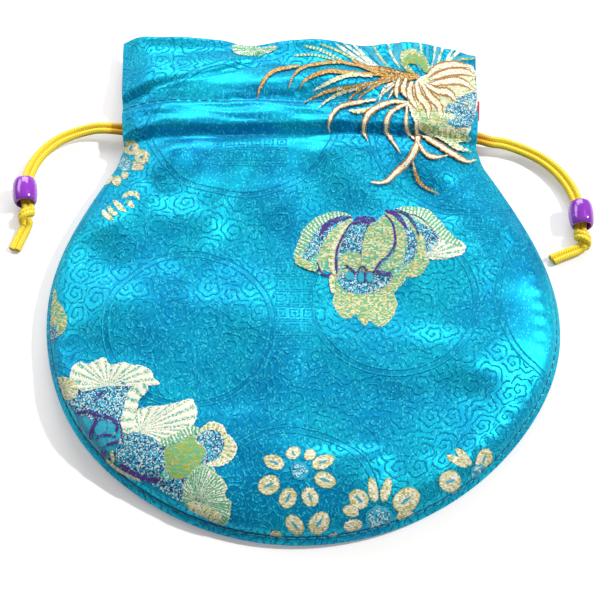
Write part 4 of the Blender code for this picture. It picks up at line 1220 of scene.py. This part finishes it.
colour = mix_colour(tree, math_node(tree, "MULTIPLY", fibre, 0.35), colour, (1.000, 0.880, 0.100, 1))
# Painted reflection and shade: near the slits the cord is coloured orange-red, for the red lining's reflected
# light and the casing's shade.
from_middle = make_nodes(tree, "ShaderNodeTexCoord").outputs["Object"]
from_middle = make_nodes(tree, "ShaderNodeSeparateXYZ", {0: from_middle}).outputs["X"]
from_middle = math_node(tree, "ABSOLUTE", from_middle)
painted_lining_reflection = soft_band(tree, from_middle, PAINTED_LINING_REFLECTION_FROM, PAINTED_LINING_REFLECTION_FULL)
colour = mix_colour(tree, math_node(tree, "MULTIPLY", painted_lining_reflection, 0.60), colour, (1.000, 0.330, 0.002, 1))
tree.links.new(colour, shader.inputs["Base Color"])
shader.inputs["Roughness"].default_value = 0.62
shader.inputs["Sheen Weight"].default_value = 0.35
shader.inputs["Sheen Tint"].default_value = (1.0, 0.85, 0.35, 1)
shader.inputs["Subsurface Weight"].default_value = 0.12
shader.inputs["Subsurface Radius"].default_value = (0.0012, 0.0007, 0.0001)
relief = math_node(tree, "MULTIPLY_ADD", fibre, 0.35, raised_and_painted_hollow_shade)
bump = make_nodes(tree, "ShaderNodeBump", {"Height": relief, "Strength": 0.7, "Distance": 0.00008})
tree.links.new(bump.outputs[0], shader.inputs["Normal"])


def even_line(points, step):
    """The smooth curve through the points, at even steps, and its length."""
    dense = smooth_through(points, len(points) * 30)
    far = lengths(dense)
    at = np.linspace(0, far[-1], max(int(far[-1] / step), 8))
    return np.stack([np.interp(at, far, dense[:, axis]) for axis in range(3)], axis=-1), far[-1]


def make_braided_tube(name, line, diameter):
    """A round tube along a line, with a low rib for each crossing of the plait, and closed cut ends."""
    tangent = np.gradient(line, axis=0)
    tangent /= np.linalg.norm(tangent, axis=1)[:, None]
    side = np.cross(tangent, (0, 0, 1))
    side /= np.linalg.norm(side, axis=1)[:, None] + 1e-9
    normal = np.zeros_like(side)
    normal[0] = side[0]
    for i in range(1, len(line)):
        carried = normal[i - 1] - tangent[i] * (normal[i - 1] @ tangent[i])
        normal[i] = carried / np.linalg.norm(carried)
    binormal = np.cross(tangent, normal)
    turn = np.linspace(0, 2 * np.pi, BRAID_SIDES, endpoint=False)
    far = lengths(line)
    wound, turned = np.pi * far[:, None] / BRAID_PITCH, turn[None, :] * PLAIT_TURNS / 2
    cross = np.abs(np.sin(wound + turned)) * np.abs(np.sin(wound - turned))
    radius = diameter / 2 * (1 - BRAID_RELIEF + BRAID_RELIEF * 2 * np.sqrt(cross) * 0.62)
    around = np.cos(turn)[None, :, None] * normal[:, None] + np.sin(turn)[None, :, None] * binormal[:, None]
    points = line[:, None] + around * radius[..., None]
    rows = len(line)
    index = np.arange(rows * BRAID_SIDES).reshape(rows, BRAID_SIDES)
    after = np.roll(index, -1, axis=1)
    cells = np.stack((index[:-1], after[:-1], after[1:], index[1:]), axis=-1).reshape(-1, 4)
    faces = cells.tolist() + [index[0][::-1].tolist(), index[-1].tolist()]
    mesh = bpy.data.meshes.new(name)
    mesh.from_pydata(points.reshape(-1, 3).tolist(), [], faces)
    layer = mesh.uv_layers.new(name="along_cord")
    share = np.broadcast_to(turn / (2 * np.pi), (rows, BRAID_SIDES))
    wrapped = np.where(np.arange(BRAID_SIDES) == BRAID_SIDES - 1, 1.0, np.roll(turn, -1) / (2 * np.pi))
    wrapped = np.broadcast_to(wrapped, (rows, BRAID_SIDES))
    length = np.broadcast_to(far[:, None] / BRAID_PITCH, (rows, BRAID_SIDES))
    corner_u = np.stack((share[:-1], wrapped[:-1], wrapped[1:], share[1:]), axis=-1)
    corner_v = np.stack((length[:-1], length[:-1], length[1:], length[1:]), axis=-1)
    uv = np.stack((corner_u, corner_v), axis=-1).reshape(-1, 2)
    uv = np.concatenate((uv, np.zeros((2 * BRAID_SIDES, 2))))
    layer.uv.foreach_set("vector", uv.astype(np.float32).ravel())
    mesh.materials.append(yellow_braid)
    mesh.shade_smooth()
    return add_object(name, mesh)


def on_arc(centre, radius, degrees, z):
    """The point of a free cord's arc at an angle."""
    angle = math.radians(degrees)
    return np.array((centre[0] + radius * math.cos(angle), centre[1] + radius * math.sin(angle), z))


def knot_strand(middle, heading, across, strand, tail_end, tail_across):
    """One strand through the overhand knot: a turn back round the pair, in again and out as a tail."""
    up = np.array((0, 0, 1.0))
    points = []
    for turn in np.linspace(0, 1, 9):
        angle = math.radians(-70 + 400 * turn) + strand * 0.25
        back = (0.34 - 0.68 * turn) * KNOT_LENGTH + strand * 0.32 * STRAND_PITCH
        radius = 1.42 * MM * (0.75 + 0.25 * math.sin(math.pi * turn))
        around = across * radius * math.cos(angle) + up * radius * 0.88 * math.sin(angle)
        points.append(middle + heading * back + around)
    points.append(middle + heading * 0.05 * KNOT_LENGTH + across * strand * 0.5 * MM - up * 0.35 * MM)
    points.append(middle + heading * 0.36 * KNOT_LENGTH + tail_across * strand * 0.62 * MM - up * 0.30 * MM)
    tail_way = np.cross(tail_across, up)
    start = middle + heading * 0.42 * KNOT_LENGTH + tail_way * 0.25 * KNOT_LENGTH
    start = start + tail_across * strand * 0.48 * STRAND_PITCH
    start[2] = CORD / 2 + 0.45 * MM
    tip = np.array((*tail_end, CORD / 2 + 0.15 * MM)) + tail_across * strand * STRAND_PITCH / 2
    points += [start + (tip - start) * share for share in (0.0, 0.5, 1.0)]
    return points


# Where the two strands pass the slit, in millimetres: place across, then the upper one's offset along the
# slit and height, and the lower one's
SLIT_PASSAGE = ((43.9, 0.75, 3.5, -0.75, 2.8), (41.2, 0.9, 5.3, -0.9, 2.1), (38.6, 1.2, 7.1, -1.2, 1.7))

# Each side: which way it faces, height in the casing, the free cord's arc as centre and radius, the angles
# of the bead and of the exit, and where the tails end
CORD_ENDS = (
    ("left", -1, 41.2 * MM, (-50.2 * MM, 24.9 * MM), 16.9 * MM, 187, 82, (-68.5 * MM, 7.8 * MM)),
    ("right", 1, 38.6 * MM, (46.6 * MM, 16.3 * MM), 21.25 * MM, 0, 88, (60.2 * MM, 5.0 * MM)),
)
bead_places = {}
for side_name, side, row_y, centre, radius, bead_angle, exit_angle, tail_end in CORD_ENDS:
    forward = 1 if bead_angle > exit_angle else -1
    knot_angle = bead_angle + forward * math.degrees((BEAD_LENGTH / 2 + 0.3 * MM) / radius)
    heading = on_arc((0, 0), 1, bead_angle + 90 * forward, 0)
    across = np.array((-heading[1], heading[0], 0))
    knot_middle = on_arc(centre, radius, bead_angle, 2.15 * MM)
    knot_middle = knot_middle + heading * (BEAD_LENGTH / 2 + 0.2 * MM + KNOT_LENGTH / 2)
    tail_way = np.array((*tail_end, 0)) - knot_middle * (1, 1, 0)
    tail_way /= np.linalg.norm(tail_way)
    tail_across = np.array((-tail_way[1], tail_way[0], 0))
    bead_places[side_name] = (centre, radius, bead_angle)
    strands = []
    for strand in (1, -1):
        free = []
        for part in np.linspace(0, 1, 13):
            degrees = exit_angle + (knot_angle - exit_angle) * part
            tilt = math.radians(float(np.interp((1 - part) * 5, range(6), PAIR_TILTS)))
            out = on_arc((0, 0), 1, degrees, 0)
            offset = (out * math.cos(tilt) + np.array((0, 0, 1)) * math.sin(tilt)) * STRAND_PITCH / 2
            sink = CORD_SINK * float(smooth_step(0, 0.25, part))
            free.append(on_arc(centre, radius, degrees, BEAD_DIAMETER / 2 - sink) + offset * strand)
        out_now = on_arc((0, 0), 1, knot_angle, 0)
        knot = knot_strand(knot_middle, heading, out_now, strand, tail_end, tail_across)
        strands.append((free, knot))
    front_run, back_run = [], []
    for i in range(10):
        x = side * CASING_ENTRY_X * (1 - 2 * i / 9)
        front_y, back_y = row_y + ROW_STEP, row_y - ROW_STEP
        front_run.append(np.array((x, front_y, float(front_lining_top(x, front_y)) + CORD_CLEARANCE)))
        back_run.append(np.array((x, back_y, float(back_lining_under(x, back_y)) - CORD_CLEARANCE)))
    far_turn = (front_run[-1] + back_run[-1]) / 2
    far_turn[0] = -side * FAR_TURN_X
    (front_free, front_knot), (back_free, back_knot) = strands
    upper = [np.array((side * x * MM, row_y + up * MM, z * MM)) for x, up, z, _, _ in SLIT_PASSAGE]
    lower = [np.array((side * x * MM, row_y + down * MM, z * MM)) for x, _, _, down, z in SLIT_PASSAGE]
    whole = back_run + [far_turn] + front_run[::-1] + upper[::-1] + front_free + front_knot
    short = [back_run[0] + np.array((side * 0.3 * MM, 0, 0))] + lower[::-1] + back_free + back_knot
    knotted = [side_name + "_drawcord", side_name + "_knot"]
    for name, points, nodes in ((side_name + "_drawcord_round_casing", whole, knotted),
                                (side_name + "_drawcord_end", short, [])):
        line, length = even_line(points, BRAID_PITCH / 4)
        cord = make_braided_tube(name, line, CORD)
        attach(cord, "pouch")
        if nodes:
            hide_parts(*nodes)


# The beads
# Two barrel beads of glossy purple plastic, moulded with a wide bore and rounded rims. Each slides on both
# strands of its cord.
BEAD_END_DIAMETER = 4.7 * MM
BEAD_BORE = 4.1 * MM
BEAD_SIDES = 72
BEAD_RIM = 0.12 * MM

purple_plastic, tree, shader = new_material("purple plastic")
place = make_nodes(tree, "ShaderNodeTexCoord").outputs["Object"]
cloud = make_nodes(tree, "ShaderNodeTexNoise", {"Vector": place, "Scale": 420.0, "Detail": 3.0}).outputs[0]
colour = mix_colour(tree, cloud, (0.250, 0.026, 0.470, 1), (0.340, 0.050, 0.620, 1))
tree.links.new(colour, shader.inputs["Base Color"])
shader.inputs["Roughness"].default_value = 0.10
shader.inputs["Coat Weight"].default_value = 0.6
shader.inputs["Coat Roughness"].default_value = 0.04
shader.inputs["Subsurface Weight"].default_value = 0.15
shader.inputs["Subsurface Radius"].default_value = (0.0012, 0.0004, 0.0016)
bump = make_nodes(tree, "ShaderNodeBump", {"Height": cloud, "Strength": 0.05, "Distance": 0.00005})
tree.links.new(bump.outputs[0], shader.inputs["Normal"])


def bead_profile():
    """Distance from the bore's axis and place along it, round the whole wall."""
    t = np.linspace(-1, 1, 25)
    wall_end = BEAD_LENGTH / 2 - BEAD_RIM
    barrel = BEAD_END_DIAMETER / 2 + (BEAD_DIAMETER - BEAD_END_DIAMETER) / 2 * np.sqrt(1 - (t * 0.98) ** 2)
    outer = np.stack((barrel, t * wall_end), axis=-1)
    rim = np.linspace(0, 1, 7)[1:-1, None] * math.pi
    middle = (BEAD_END_DIAMETER + BEAD_BORE) / 4
    half = (BEAD_END_DIAMETER - BEAD_BORE) / 4
    end = np.concatenate((middle + half * np.cos(rim), wall_end + BEAD_RIM * np.sin(rim)), axis=1)
    bore = np.stack((np.full(9, BEAD_BORE / 2), np.linspace(1, -1, 9) * wall_end), axis=-1)
    start = end[::-1] * (1, -1)
    return np.concatenate((outer, end, bore, start))


for side_name, (centre, radius, degrees) in bead_places.items():
    profile = bead_profile()
    turn = np.linspace(0, 2 * np.pi, BEAD_SIDES, endpoint=False)
    out = on_arc((0, 0), 1, degrees, 0)
    along = np.array((-out[1], out[0], 0))
    middle = on_arc(centre, radius, degrees, BEAD_DIAMETER / 2)
    around = np.cos(turn)[:, None] * out + np.sin(turn)[:, None] * np.array((0, 0, 1))
    points = middle + profile[None, :, 0, None] * around[:, None] + profile[None, :, 1, None] * along
    index = np.arange(BEAD_SIDES * len(profile)).reshape(BEAD_SIDES, len(profile))
    after = np.roll(index, -1, axis=0)
    corners = (index, np.roll(index, -1, axis=1), np.roll(after, -1, axis=1), after)
    cells = np.stack(corners, axis=-1).reshape(-1, 4)
    mesh = bpy.data.meshes.new(side_name + "_barrel_bead")
    mesh.from_pydata(points.reshape(-1, 3).tolist(), [], cells.tolist())
    mesh.materials.append(purple_plastic)
    mesh.shade_smooth()
    bead = add_object(side_name + "_barrel_bead", mesh)
    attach(bead, side_name + "_bead")
    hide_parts(side_name + "_bead")
